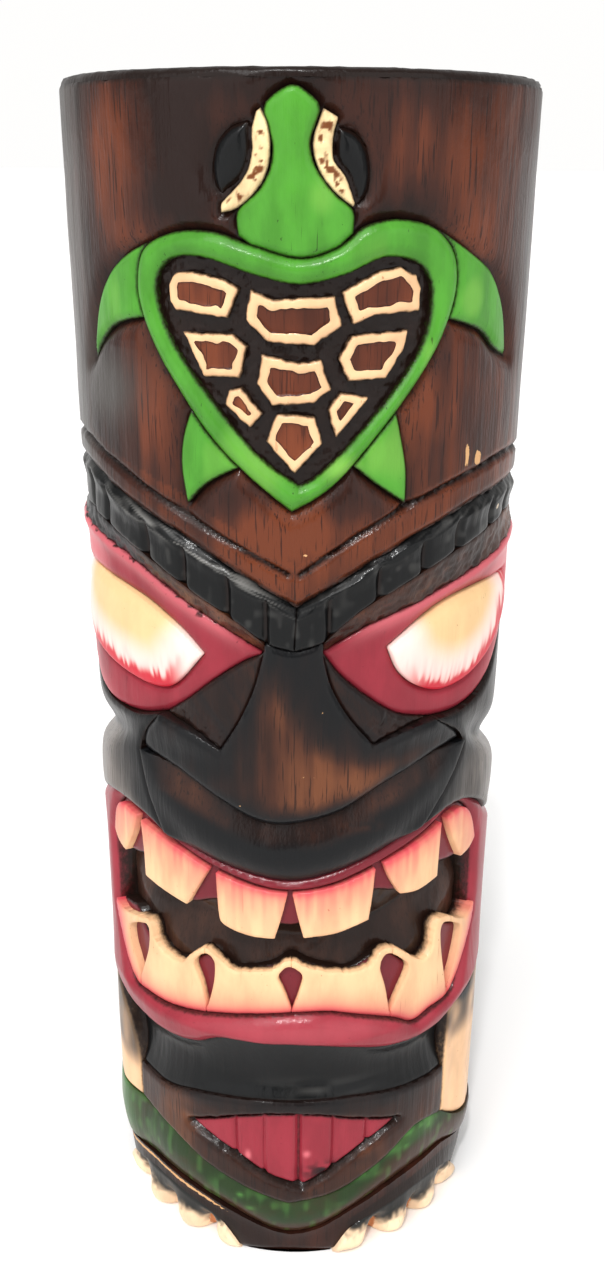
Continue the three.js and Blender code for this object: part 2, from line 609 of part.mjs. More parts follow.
function placeMidFace() {
  tile('under_eye_left', 'brown', [FLANK_L, LEDGE_L, reversed(EYE_LOW_L)],
    facetThrough([-12.8, 101.8, -0.8], [-25, 105.3, -2.6], [-5.5, 118.3, -2.2]));
  tile('under_eye_right', 'brown', [FLANK_R, LEDGE_R, reversed(EYE_LOW_R)],
    facetThrough([12.4, 102.9, -0.8], [25, 104.6, -2.6], [3.9, 118.6, -2.2]));
  tile('nose', 'brown', [NOSE_TOP, [NOSE_TOP[2], CORNER_R], FLANK_R, LEDGE_R, NOSE_END_R,
    reversed(NOSE_LOW), reversed(NOSE_END_L), reversed(LEDGE_L), reversed(FLANK_L),
    [CORNER_L, NOSE_TOP[0]]], noseDepth);
  tile('upper_lip_roll', 'brown', [NOSE_LOW, ROLL_END_R, reversed(LIP_TOP_M), ROLL_END_L],
    rollDepth);
  tile('cheek_left', 'charcoal', [EYE_SIDE_L, [[-MASK_EDGE, 123.4], [-MASK_EDGE, 79]], LIP_TOP_L, ROLL_END_L,
    reversed(NOSE_END_L)], cheekDepth);
  tile('cheek_right', 'charcoal', [EYE_SIDE_R, [[MASK_EDGE, 122], [MASK_EDGE, 74]], reversed(LIP_TOP_R),
    reversed(ROLL_END_R), reversed(NOSE_END_R)], cheekDepth);
}

// ---------------------------------------------------------------- mouth

// Teeth and gums lie on a flatter curve than the log, so they near its surface at the sides.
function toothDepth(s) {
  return -2.6 + 1.8 * (s / 42) ** 2;
}

function gumDepth(s) {
  return toothDepth(s) - 1.5;
}

const TEETH = {
  tooth_upper_1: outline(
    [[-43, 77.4], [-41.4, 82.4], [-38.4, 84.2], [-33.5, 83.8]],
    [[-33.5, 83.8], [-35.4, 79.4], [-38.4, 75]],
    [[-38.4, 75], [-41, 75.8], [-43, 77.4]],
  ),
  tooth_upper_2: outline(
    [[-32.4, 83.4], [-25, 81.8], [-16.2, 79]],
    [[-16.2, 79], [-18.6, 75.2], [-21.2, 70.9]],
    [[-21.2, 70.9], [-26, 71.8], [-31.6, 72.9]],
    [[-31.6, 72.9], [-31.8, 78], [-32.4, 83.4]],
  ),
  tooth_upper_3: outline(
    [[-15, 78.6], [-8, 76.9], [-1.6, 76.2]],
    [[-1.6, 76.2], [-2.8, 71.4], [-4, 67.5]],
    [[-4, 67.5], [-9, 67.6], [-13.6, 69], [-14.6, 71.4], [-15, 78.6]],
  ),
  tooth_upper_4: outline(
    [[-0.8, 76.2], [7, 77.3], [14.5, 79.6]],
    [[14.5, 79.6], [14, 74.4], [13.4, 70]],
    [[13.4, 70], [7, 68.3], [1.3, 67.7]],
    [[1.3, 67.7], [0.2, 71.8], [-0.8, 76.2]],
  ),
  tooth_upper_5: outline(
    [[16, 80.3], [22, 82], [29, 84.4]],
    [[29, 84.4], [28.7, 79], [28.5, 74.2]],
    [[28.5, 74.2], [24, 73.1], [19.7, 73.6]],
    [[19.7, 73.6], [17.6, 76.8], [16, 80.3]],
  ),
  tooth_upper_6: outline(
    [[30.4, 84.8], [34.4, 85.3], [38, 83], [41, 77]],
    [[41, 77], [38.4, 75.6], [35.6, 75.3]],
    [[35.6, 75.3], [32.6, 80], [30.4, 84.8]],
  ),
  tooth_lower_1: outline(
    [[-34.2, 63.3], [-37.6, 64], [-41, 63.8], [-43.8, 62.4]],
    [[-43.8, 62.4], [-41.6, 58], [-38.6, 53.6], [-35.8, 51]],
    [[-35.8, 51], [-38, 55.6], [-39.4, 59], [-34.2, 63.3]],
  ),
  tooth_lower_2: outline(
    [[-33.2, 59.4], [-28, 58.8], [-21.8, 59.2]],
    [[-21.8, 59.2], [-20, 55.4], [-18.6, 51.3]],
    [[-18.6, 51.3], [-25, 49.9], [-31, 49.6], [-35.4, 49.9]],
    [[-35.4, 49.9], [-34.8, 54.6], [-33.2, 59.4]],
  ),
  tooth_lower_3: outline(
    [[-16.6, 61.2], [-12, 60.4], [-7, 60.9], [-3.8, 62]],
    [[-3.8, 62], [-2.9, 57.6], [-1.2, 53.6]],
    [[-1.2, 53.6], [-9, 52.8], [-17.6, 51.5]],
    [[-17.6, 51.5], [-16.4, 56], [-16.6, 61.2]],
  ),
  tooth_lower_4: outline(
    [[1.6, 62.4], [6, 61.4], [11, 60.6], [15.2, 62.2]],
    [[15.2, 62.2], [16.2, 56.4], [17.6, 50.6]],
    [[17.6, 50.6], [10, 52.7], [-0.2, 53.6]],
    [[-0.2, 53.6], [1.3, 57.8], [1.6, 62.4]],
  ),
  tooth_lower_5: outline(
    [[18.4, 62.4], [21, 60.8], [24, 59], [27.6, 58.8], [30.4, 59.8]],
    [[30.4, 59.8], [32, 54.6], [32.8, 48.7]],
    [[32.8, 48.7], [28, 48.4], [23.8, 47.6], [18.9, 49.9]],
    [[18.9, 49.9], [22.2, 57.6], [18.4, 62.4]],
  ),
  tooth_lower_6: outline(
    [[31.4, 63.8], [36, 61.8], [41.6, 59.8]],
    [[41.6, 59.8], [38.4, 55], [34.4, 49.6]],
    [[34.4, 49.6], [36, 54.4], [36.8, 58.6], [31.4, 63.8]],
  ),
};

// The lower lip stands proudest; the top edge lies back under the roll.
function lipDepth(s, z) {
  const low = THREE.MathUtils.clamp(1 - Math.abs(z - 48) / 9, 0, 1);
  const side = THREE.MathUtils.smoothstep(Math.abs(s), 34, 50);
  return -2.1 + 2.1 * low + 1.9 * side * (1 - low);
}

function placeMouth() {
  const hole = outline(MOUTH_TOP, [[42, 76.4], [42.4, 60]], MOUTH_LOW, [[-45.4, 62], [-45.4, 76]]);
  tile('mouth_lips', 'crimson', [LIP_TOP_L, LIP_TOP_M, LIP_TOP_R, [[MASK_EDGE, 74], [MASK_EDGE, 48.6]],
    LIP_LOW_R, LIP_LOW_M, LIP_LOW_L, [[-MASK_EDGE, 47], [-MASK_EDGE, 79]]], lipDepth,
  [grow(hole, GAP / 2)]);
  tile('gum_upper', 'crimson', [MOUTH_TOP, reversed(GUM_EDGE_TOP)], gumDepth);
  tile('gum_lower', 'crimson', [MOUTH_LOW, GUM_EDGE_LOW], gumDepth);
  const throat = outline(GUM_EDGE_TOP, [[42, 76.4], [42.4, 60]], reversed(GUM_EDGE_LOW),
    [[-45.4, 62], [-45.4, 76]]);
  cut(slab(throat, THROAT_DEPTH, MASK_SEAT + 1), 'log_body');
  for (const [name, points] of Object.entries(TEETH)) {
    place(name, 'cream', slab(points, (s) => gumDepth(s) + GAP, toothDepth));
  }
}

// ---------------------------------------------------------------- chin, skirt and feet

const TONGUE = outline(
  [[-21.8, 25.7], [-12, 29.6], [-4, 31.3], [4, 31.3], [12, 29.3], [21, 26.6]],
  [[21, 26.6], [13, 23.2], [6, 18.8], [1.2, 16.2]],
  [[1.2, 16.2], [-5, 18], [-12, 21.8], [-21.8, 25.7]],
);
const TONGUE_MARGIN = 1.1;
const TONGUE_RIBS = [-12.4, -6.6, 0.2, 7, 14];
const RIB_WIDTH = 0.9;
const TONGUE_FACE = -2.6;
const RIB_DEPTH = 0.6;

const FOOT_ARC_L = [[-12, 0.5], [-14.6, 5.6], [-20, 8.2], [-29, 9.6], [-37, 8.6], [-45, 4.8],
  [-48, 0.5]];
const FOOT_ARC_R = [[8.6, 0.5], [11, 5.4], [17, 8.2], [25, 9.9], [33, 9.4], [40, 6], [44, 0.5]];
const TOE_GAPS_L = [-39.6, -29.4, -19.4];
const TOE_GAPS_R = [16.4, 26.4, 35.6];
const TOE_GAP_WIDTH = 1.4;
const TOE_GAP_DEPTH = 2;

// The black band is hollowed from lip to chin.
function bandDepth(s, z) {
  const low = z < 34 ? 34 : heightAt(LIP_LOW_M, s);
  const bend = THREE.MathUtils.clamp(Math.abs(z - 38.6) / Math.abs(low - 38.6), 0, 1);
  return -3.8 + 1.6 * bend * bend;
}

// The skirt comes out from the hollow of the chin to stand a little proud at the sides.
function skirtDepth(s) {
  const out = THREE.MathUtils.smoothstep(Math.abs(s), 32, 46);
  const end = THREE.MathUtils.smoothstep(Math.abs(s), 56, MASK_EDGE - 1);
  return -2 + 2.6 * out - 0.6 * end;
}

function panelDepth(s) {
  return -1.5 + 1.4 * THREE.MathUtils.smoothstep(Math.abs(s), 36, 46);
}

function placeChin() {
  const endR = [[PANEL_S_R, 31.8], [34.6, 44.2]];
  tile('chin_band', 'black', [CHIN_LOW_M, endR, LIP_LOW_M, reversed(PANEL_FRONT_L)], bandDepth);
  tile('chin_ground', 'brown', [CHIN_LOW_M, [[PANEL_S_R, 31.8], [PANEL_S_R, 21.4]],
    reversed(SKIRT_TOP_MR), reversed(SKIRT_TOP_ML), [[PANEL_S_L, 22.8], [PANEL_S_L, 30.5]]],
  -1.6, [grow(TONGUE, TONGUE_MARGIN)]);
  place('tongue_panel', 'crimson', slab(TONGUE, MASK_SEAT + BACK_GAP, TONGUE_FACE));
  for (const s of TONGUE_RIBS) {
    const rib = polygon([[s, 12], [s + RIB_WIDTH, 12], [s + RIB_WIDTH, 36], [s, 36]]);
    cut(slab(rib, TONGUE_FACE - RIB_DEPTH, CLEAR), 'tongue_panel');
  }
  tile('skirt_band', 'olive', [SKIRT_TOP_L, SKIRT_TOP_ML, SKIRT_TOP_MR, SKIRT_TOP_R,
    [[MASK_EDGE, 13], [MASK_EDGE, 9]], reversed(SKIRT_LOW), [[-MASK_EDGE, 8], [-MASK_EDGE, 19.6]]],
  skirtDepth);
  tile('side_panel_left', 'cream', [PANEL_FRONT_L, LIP_LOW_L, [[-MASK_EDGE, 47], [-MASK_EDGE, 19.6]],
    SKIRT_TOP_L, [[PANEL_S_L, 22.8], [PANEL_S_L, 30.5]]], panelDepth);
  tile('side_panel_right', 'cream', [LIP_LOW_R, reversed(endR), [[PANEL_S_R, 31.8],
    [PANEL_S_R, 21.4]], SKIRT_TOP_R, [[MASK_EDGE, 13], [MASK_EDGE, 48.6]]], panelDepth);
}

function placeFoot(name, arc, toeGaps) {
  const seat = outline(arc, [arc[arc.length - 1], [arc[arc.length - 1][0], -3]],
    [[arc[0][0], -3], arc[0]]);
  cut(slab(grow(seat, GAP), MASK_SEAT, CLEAR), 'log_body');
  place(name, 'cream', slab(outline(arc), MASK_SEAT + BACK_GAP, FOOT_FACE));
  for (const s of toeGaps) {
    const gap = polygon([[s, -2], [s + TOE_GAP_WIDTH, -2], [s + TOE_GAP_WIDTH, 14], [s, 14]]);
    cut(slab(gap, FOOT_FACE - TOE_GAP_DEPTH, CLEAR), name);
  }
}

// ---------------------------------------------------------------- build

placeLog();
cutMaskSeat();
placeTurtle();
placeBrow();
placeEyes();
placeMidFace();
placeMouth();
placeChin();
placeFoot('foot_left', FOOT_ARC_L, TOE_GAPS_L);
placeFoot('foot_right', FOOT_ARC_R, TOE_GAPS_R);
placeLiner();

const group = new THREE.Group();
group.name = 'tiki_mug';
for (const piece of pieces) {
  const mesh = new THREE.Mesh(toGeometry(piece.solid), material(piece.colour));
  mesh.name = piece.name;
  group.add(mesh);
}

export default group;
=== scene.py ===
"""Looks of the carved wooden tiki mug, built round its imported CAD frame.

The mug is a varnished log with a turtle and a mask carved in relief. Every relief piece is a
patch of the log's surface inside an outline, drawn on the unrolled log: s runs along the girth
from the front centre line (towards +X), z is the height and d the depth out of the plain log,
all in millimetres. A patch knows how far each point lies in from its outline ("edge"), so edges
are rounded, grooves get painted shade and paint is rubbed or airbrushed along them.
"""
import math

import bpy
import numpy as np
from mathutils import Matrix, Vector


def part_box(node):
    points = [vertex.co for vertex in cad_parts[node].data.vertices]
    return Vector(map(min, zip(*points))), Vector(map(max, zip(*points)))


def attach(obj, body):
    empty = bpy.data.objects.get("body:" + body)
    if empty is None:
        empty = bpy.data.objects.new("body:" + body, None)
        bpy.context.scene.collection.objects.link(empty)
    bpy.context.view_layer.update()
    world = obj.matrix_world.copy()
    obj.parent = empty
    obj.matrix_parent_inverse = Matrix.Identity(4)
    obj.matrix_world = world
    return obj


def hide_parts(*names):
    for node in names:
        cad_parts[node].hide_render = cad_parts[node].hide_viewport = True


MM = 0.001

# ---------------------------------------------------------------- camera

CAMERA_DISTANCE = 218.7        # from the log's axis
CAMERA_HEIGHT = 188.5
CAMERA_PITCH = 20.1            # degrees below level
CAMERA_ROLL = 0.29             # degrees, because the mug leans a little in the frame
LENS = 36.8                    # on a sensor whose long side is 36 mm
SHIFT = 0.0035


def add_camera():
    data = bpy.data.cameras.new("camera")
    data.sensor_fit = "VERTICAL"
    data.sensor_height = 36
    data.lens = LENS
    data.shift_x = SHIFT
    camera = bpy.data.objects.new("camera", data)
    bpy.context.collection.objects.link(camera)
    look = Matrix.Rotation(math.radians(90 - CAMERA_PITCH), 4, "X")
    roll = Matrix.Rotation(math.radians(CAMERA_ROLL), 4, "Z")
    place = Matrix.Translation((0, -CAMERA_DISTANCE * MM, CAMERA_HEIGHT * MM))
    camera.matrix_world = place @ look @ roll
    bpy.context.scene.camera = camera


add_camera()
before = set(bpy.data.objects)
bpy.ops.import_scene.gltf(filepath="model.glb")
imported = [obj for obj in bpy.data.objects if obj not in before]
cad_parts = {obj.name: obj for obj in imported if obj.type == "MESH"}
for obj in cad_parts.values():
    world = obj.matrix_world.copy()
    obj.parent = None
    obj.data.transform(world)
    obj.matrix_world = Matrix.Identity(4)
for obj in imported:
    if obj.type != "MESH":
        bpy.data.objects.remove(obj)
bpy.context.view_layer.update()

# ---------------------------------------------------------------- driving dimensions

LOG_LOW, LOG_HIGH = [np.array(corner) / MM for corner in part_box("log_body")]
LINER_LOW, LINER_HIGH = [np.array(corner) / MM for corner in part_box("liner_cup")]
HEIGHT = LOG_HIGH[2]
TOP_RADIUS = LOG_HIGH[0]
TAPER_RADIUS = TOP_RADIUS - 2.5
FOOT_INSET = 2.5
FOOT_RISE = 16
RIM_ROUND = 1.2
GIRTH_RADIUS = 35.5            # radius at which s is measured
HALF_GIRTH = math.pi * GIRTH_RADIUS
BORE_GAP = 0.3                 # between the cup and the wood
BORE_RADIUS = LINER_HIGH[0] + BORE_GAP
BORE_FLOOR = LINER_LOW[2] - BORE_GAP
LINER_WALL = 0.8
LINER_LIP = 0.4                # radius of the rolled lip
LINER_BEND = 2.2               # inner radius where wall and floor meet

STEP = 0.42                    # grid spacing on the relief
FINE = 0.26                    # and on small pieces
BACK_STEP = 1.7                # and on the plain back of the log
MASK_END = 66                  # the mask runs this far round each side
MASK_BACK = -5.4               # how deep the relief pieces reach
TURTLE_BACK = -2.6
GUM_BACK = -8
LOG_WALL = -3.4                # and how deep the log's own edge round them is modelled
SEAT_AT_BORE = -6.0            # depth of the wood behind the mask where the log is bored out
SEAT_BELOW_BORE = -8.4


def log_radius(z):
    taper = TAPER_RADIUS + (TOP_RADIUS - TAPER_RADIUS) * z / HEIGHT
    tuck = np.clip(1 - z / FOOT_RISE, 0, 1)
    return taper - FOOT_INSET * tuck ** 2


def on_log(s, z, d):
    angle = s / GIRTH_RADIUS
    radius = log_radius(z) + d
    return np.column_stack((radius * np.sin(angle), -radius * np.cos(angle), z)) * MM


# ---------------------------------------------------------------- fields over the log

def fade(value, low, high):
    """Smooth step from 0 at low to 1 at high."""
    share = np.clip((value - low) / (high - low), 0, 1)
    return share * share * (3 - 2 * share)


def bell(value, width):
    """1 at 0, and fading to both sides over about the width."""
    return np.exp(-(value / width) ** 2)


def spot(s, z, centre, half):
    """A soft oval spot, 1 at its centre."""
    return np.exp(-((s - centre[0]) / half[0]) ** 2 - ((z - centre[1]) / half[1]) ** 2)


def spots(s, z, places):
    total = np.zeros_like(s)
    for centre, half, amount in places:
        total = total + amount * spot(s, z, centre, half)
    return total


def noise(s, z, size, seed):
    """Smooth random field between -1 and 1, with lumps about size[0] by size[1] mm."""
    table = np.random.default_rng(seed).uniform(-1, 1, (256, 256))
    u, v = s / size[0] + 77.3, z / size[1] + 31.7
    i, j = np.floor(u).astype(int), np.floor(v).astype(int)
    a, b = u - i, v - j
    a, b = a * a * (3 - 2 * a), b * b * (3 - 2 * b)
    row, next_row = i % 256, (i + 1) % 256
    col, next_col = j % 256, (j + 1) % 256
    low = table[row, col] * (1 - a) + table[next_row, col] * a
    high = table[row, next_col] * (1 - a) + table[next_row, next_col] * a
    return low * (1 - b) + high * b


def crumbs(s, z, seed=5):
    """Torn, splintery surface of unfinished cuts."""
    coarse = noise(s, z, (1.3, 1.0), seed)
    fine = noise(s, z, (0.6, 0.5), seed + 1)
    return 0.6 * coarse + 0.4 * fine


def fibres(s, z, size, seed):
    """Torn fibres that run down towards the middle on both sides, as the brow does."""
    return noise(s, z - 0.45 * np.abs(s), size, seed)


def tool_marks(s, z, seed=9):
    """Shallow facets left by the knife, and the grain that stands up under the varnish."""
    facets = noise(s, z, (4.5, 8), seed)
    grain = noise(s, z, (0.9, 16), seed + 1)
    return 0.09 * facets + 0.035 * grain


# ---------------------------------------------------------------- curves and outlines

def smooth(run, spacing=0.7):
    """Points along the smooth curve through a run of [s, z] points."""
    knots = np.array(run, float)
    if len(knots) < 3:
        return knots
    points = []
    for i in range(len(knots) - 1):
        p0, p1 = knots[max(i - 1, 0)], knots[i]
        p2, p3 = knots[i + 1], knots[min(i + 2, len(knots) - 1)]
        v1, v2 = (p2 - p0) / 2, (p3 - p1) / 2
        count = max(2, int(np.hypot(*(p2 - p1)) / spacing))
        t = np.arange(count)[:, None] / count
        points.append((2 * p1 - 2 * p2 + v1 + v2) * t ** 3
                      + (3 * p2 - 3 * p1 - 2 * v1 - v2) * t ** 2 + v1 * t + p1)
    points.append(knots[-1:])
    return np.vstack(points)


def outline(*runs):
    """A closed outline of smooth runs that meet in corners."""
    points = np.vstack([smooth(run) for run in runs])
    after = np.roll(points, -1, axis=0)
    return points[np.hypot(*(points - after).T) > 0.02]


def distance(points, s, z, closed=True):
    """Distance to a line of points, and whether each place is inside it."""
    nearest = np.full(s.shape, 1e9)
    inside = np.zeros(s.shape, bool)
    ends = np.roll(points, -1, axis=0) if closed else points[1:]
    for (s0, z0), (s1, z1) in zip(points, ends):
        ds, dz = s1 - s0, z1 - z0
        t = np.clip(((s - s0) * ds + (z - z0) * dz) / (ds * ds + dz * dz + 1e-12), 0, 1)
        gap = (s - s0 - t * ds) ** 2 + (z - z0 - t * dz) ** 2
        np.minimum(nearest, gap, out=nearest)
        if closed and z0 != z1:
            crosses = (z0 > z) != (z1 > z)
            inside ^= crosses & (s < s0 + ds * (z - z0) / dz)
    return np.sqrt(nearest), inside


def inside_of(points):
    """Field that is positive inside an outline: the distance in from it."""
    def field(s, z):
        gap, inside = distance(points, s, z)
        return np.where(inside, gap, -gap)
    return field


def without(field, *holes):
    return lambda s, z: np.minimum.reduce([field(s, z)] + [-hole(s, z) for hole in holes])


def any_of(*fields):
    return lambda s, z: np.maximum.reduce([field(s, z) for field in fields])


def level(depth):
    """The same value everywhere."""
    return lambda s, _z: np.full(s.shape, float(depth))


def line_at(run, s):
    """Height of a smooth line at s."""
    points = smooth(run)
    if points[0, 0] > points[-1, 0]:
        points = points[::-1]
    return np.interp(s, points[:, 0], points[:, 1])


def gap_to(places, s):
    """Distance along the girth to the nearest of some places."""
    return np.min([np.abs(s - place) for place in places], axis=0)


def near_line(s, z, *runs):
    """Distance to the nearest of some smooth lines."""
    return np.minimum.reduce([distance(smooth(run), s, z, closed=False)[0] for run in runs])


def outside(field, s, z):
    """Distance out from an outline, 0 within it."""
    return np.maximum(-field(s, z), 0)


def back(run):
    return run[::-1]


# ---------------------------------------------------------------- meshes

def sign_changes(s, z, value, step, first):
    """Points where the field changes sign between neighbours, numbered from first."""
    down, right = step
    here = (slice(0, s.shape[0] - down), slice(0, s.shape[1] - right))
    there = (slice(down, None), slice(right, None))
    rows, cols = np.nonzero((value[here] > 0) != (value[there] > 0))
    start, end = (rows, cols), (rows + down, cols + right)
    share = value[start] / (value[start] - value[end])
    number = np.full(s.shape, -1)
    number[start] = first + np.arange(len(rows))
    return number, np.column_stack([axis[start] + share * (axis[end] - axis[start])
                                    for axis in (s, z)])


def cut_cell(corners, inside, number, crossings):
    """The face left of a cell that the edge passes through, and the points it leaves by."""
    face, leaving, entering = [], [], []
    for k in range(4):
        here, there = inside[corners[k]], inside[corners[(k + 1) % 4]]
        if here:
            face.append(number[corners[k]])
        if here != there:
            face.append(crossings[k])
            (leaving if here else entering).append(crossings[k])
    return [int(corner) for corner in face], leaving, entering


def clip_grid(field, s_axis, z_axis):
    """The part of a grid where the field is positive.

    Returns the corner places, the faces and the pairs of corners along the cut edge."""
    s, z = np.meshgrid(s_axis, z_axis)
    value = field(s, z)
    small = 0.06 * (s_axis[1] - s_axis[0])
    value = np.where(np.abs(value) < small, np.where(value > 0, small, -small), value)
    inside = value > 0
    count = int(inside.sum())
    number = np.full(s.shape, -1)
    number[inside] = np.arange(count)
    across, across_places = sign_changes(s, z, value, (0, 1), count)
    upward, upward_places = sign_changes(s, z, value, (1, 0), count + len(across_places))
    places = np.vstack((np.column_stack((s[inside], z[inside])), across_places, upward_places))

    low, high = (inside[:-1, :-1], inside[:-1, 1:]), (inside[1:, 1:], inside[1:, :-1])
    full, some = np.logical_and.reduce(low + high), np.logical_or.reduce(low + high)
    j, i = np.nonzero(full)
    faces = np.column_stack((number[j, i], number[j, i + 1], number[j + 1, i + 1],
                             number[j + 1, i])).tolist()
    rim = []
    for j, i in zip(*np.nonzero(some & ~full)):
        corners = ((j, i), (j, i + 1), (j + 1, i + 1), (j + 1, i))
        crossings = (across[j, i], upward[j, i + 1], across[j + 1, i], upward[j, i])
        face, leaving, entering = cut_cell(corners, inside, number, crossings)
        if len(leaving) == 1:
            rim.append((leaving[0], entering[0]))
        if len(face) > 2:
            faces.append(face)
    return places, faces, rim


def span(low, high, step):
    return np.linspace(low, high, max(2, int(math.ceil((high - low) / step))) + 1)


class Patch:
    """Points, faces, marks and material numbers of a mesh that is still being put together."""

    def __init__(self):
        self.points = []
        self.faces = []
        self.slots = []
        self.marks = {}
        self.count = 0

    def add(self, points, faces, marks, slot=0):
        for name in MARKS:
            self.marks.setdefault(name, []).append(
                np.broadcast_to(marks.get(name, 0.0), len(points)).astype(float))
        self.points.append(points)
        self.faces += [[int(corner) + self.count for corner in face] for face in faces]
        self.slots += [slot] * len(faces)
        self.count += len(points)

    def build(self, name, materials, crease=55):
        mesh = bpy.data.meshes.new(name)
        mesh.from_pydata(np.vstack(self.points).tolist(), [], self.faces)
        for mark in MARKS:
            layer = mesh.attributes.new(mark, "FLOAT", "POINT")
            layer.data.foreach_set("value", np.clip(np.concatenate(self.marks[mark]), -1, 1))
        for material in materials:
            mesh.materials.append(material)
        mesh.polygons.foreach_set("material_index", self.slots)
        mesh.polygons.foreach_set("use_smooth", [True] * len(mesh.polygons))
        mesh.set_sharp_from_angle(angle=math.radians(crease))
        mesh.validate()
        mesh.update()
        piece = bpy.data.objects.new(name, mesh)
        bpy.context.collection.objects.link(piece)
        return piece


# Marks on each point: the material's shade colour, mostly black airbrush; a second colour that also
# carries painted sheen and highlights; bare wood that also carries painted glints; darkening for soil and
# for painted shade in grooves and gaps; and lighter or darker stain.
MARKS = ("shade", "blush_and_sheen", "worn_and_glint", "grime_and_shade", "tone")
NO_GRIME_OR_SHADE = 0.0                     # no soiling and no painted shade along the edges


def roll_off(edge, width, drop):
    """Rounds a face down towards its outline."""
    return -drop * np.clip(1 - edge / width, 0, 1) ** 2


def carve(patch, field, depth, marks, box, step, floor, slot=0):
    """Adds the relief where the field is positive, with walls along its edge down to the floor."""
    s_low, s_high, z_low, z_high = box
    places, faces, rim = clip_grid(field, span(s_low, s_high, step), span(z_low, z_high, step))
    s, z = places[:, 0], places[:, 1]
    edge = np.maximum(field(s, z), 0)
    marked = {name: np.broadcast_to(value, len(s)) for name, value in marks(s, z, edge).items()}
    used, walls = edge_walls(rim, len(s))
    top = on_log(s, z, depth(s, z, edge))
    bottom = on_log(s[used], z[used], np.full(len(used), floor))
    both = {name: np.concatenate((value, value[used])) for name, value in marked.items()}
    # The walls down into the gaps are painted dark, as shade.
    both["grime_and_shade"] = both.get("grime_and_shade", np.zeros(len(s) + len(used))).copy()
    both["grime_and_shade"][len(s):] = 0.9
    patch.add(np.vstack((top, bottom)), faces + walls, both, slot)


def edge_walls(rim, count):
    """Faces from a cut edge down to a second row of points, numbered from count."""
    used = np.array(sorted(set(corner for pair in rim for corner in pair)), int)
    lower = {corner: count + k for k, corner in enumerate(used)}
    return used, [[b, a, lower[a], lower[b]] for a, b in rim]


def box_of(*outlines):
    points = np.vstack(outlines)
    low, high = points.min(axis=0) - 0.5, points.max(axis=0) + 0.5
    return low[0], high[0], low[1], high[1]


def finish_piece(piece, nodes, slot):
    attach(piece, "root")
    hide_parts(*nodes)


# Painted shade along a piece's edge, darkest at the edge itself.
def edge_shade(edge, width=0.5, amount=0.85):
    return amount * bell(edge, width)


def relief(node, points, depth, material, marks=None, step=STEP, floor=MASK_BACK,
           rounding=(0.9, 0.45), field=None, rough=0.0):
    """One relief piece: its face follows depth, its edges are rounded and its walls are painted dark as
    shade.
    """
    field = field or inside_of(points)

    def face(s, z, edge):
        d = depth(s, z) + roll_off(edge, *rounding) + tool_marks(s, z)
        return d + rough * crumbs(s, z)

    def all_marks(s, z, edge):
        # Painted shade along the edge, unless the piece's marks set it otherwise.
        found = {"grime_and_shade": edge_shade(edge)}
        if marks:
            found.update(marks(s, z, edge))
        return found

    patch = Patch()
    carve(patch, field, face, all_marks, box_of(points), step, floor)
    finish_piece(patch.build(node + "_relief", [material]), [node], SLOTS[material])


# ---------------------------------------------------------------- materials

def rgb(red, green, blue):
    """A colour as the screen shows it, turned into light."""
    screen = np.array([red, green, blue]) / 255
    light = np.where(screen < 0.04045, screen / 12.92, ((screen + 0.055) / 1.055) ** 2.4)
    return (*light.tolist(), 1.0)


def scaled(colour, amount):
    return (*[min(1.0, part * amount) for part in colour[:3]], 1.0)


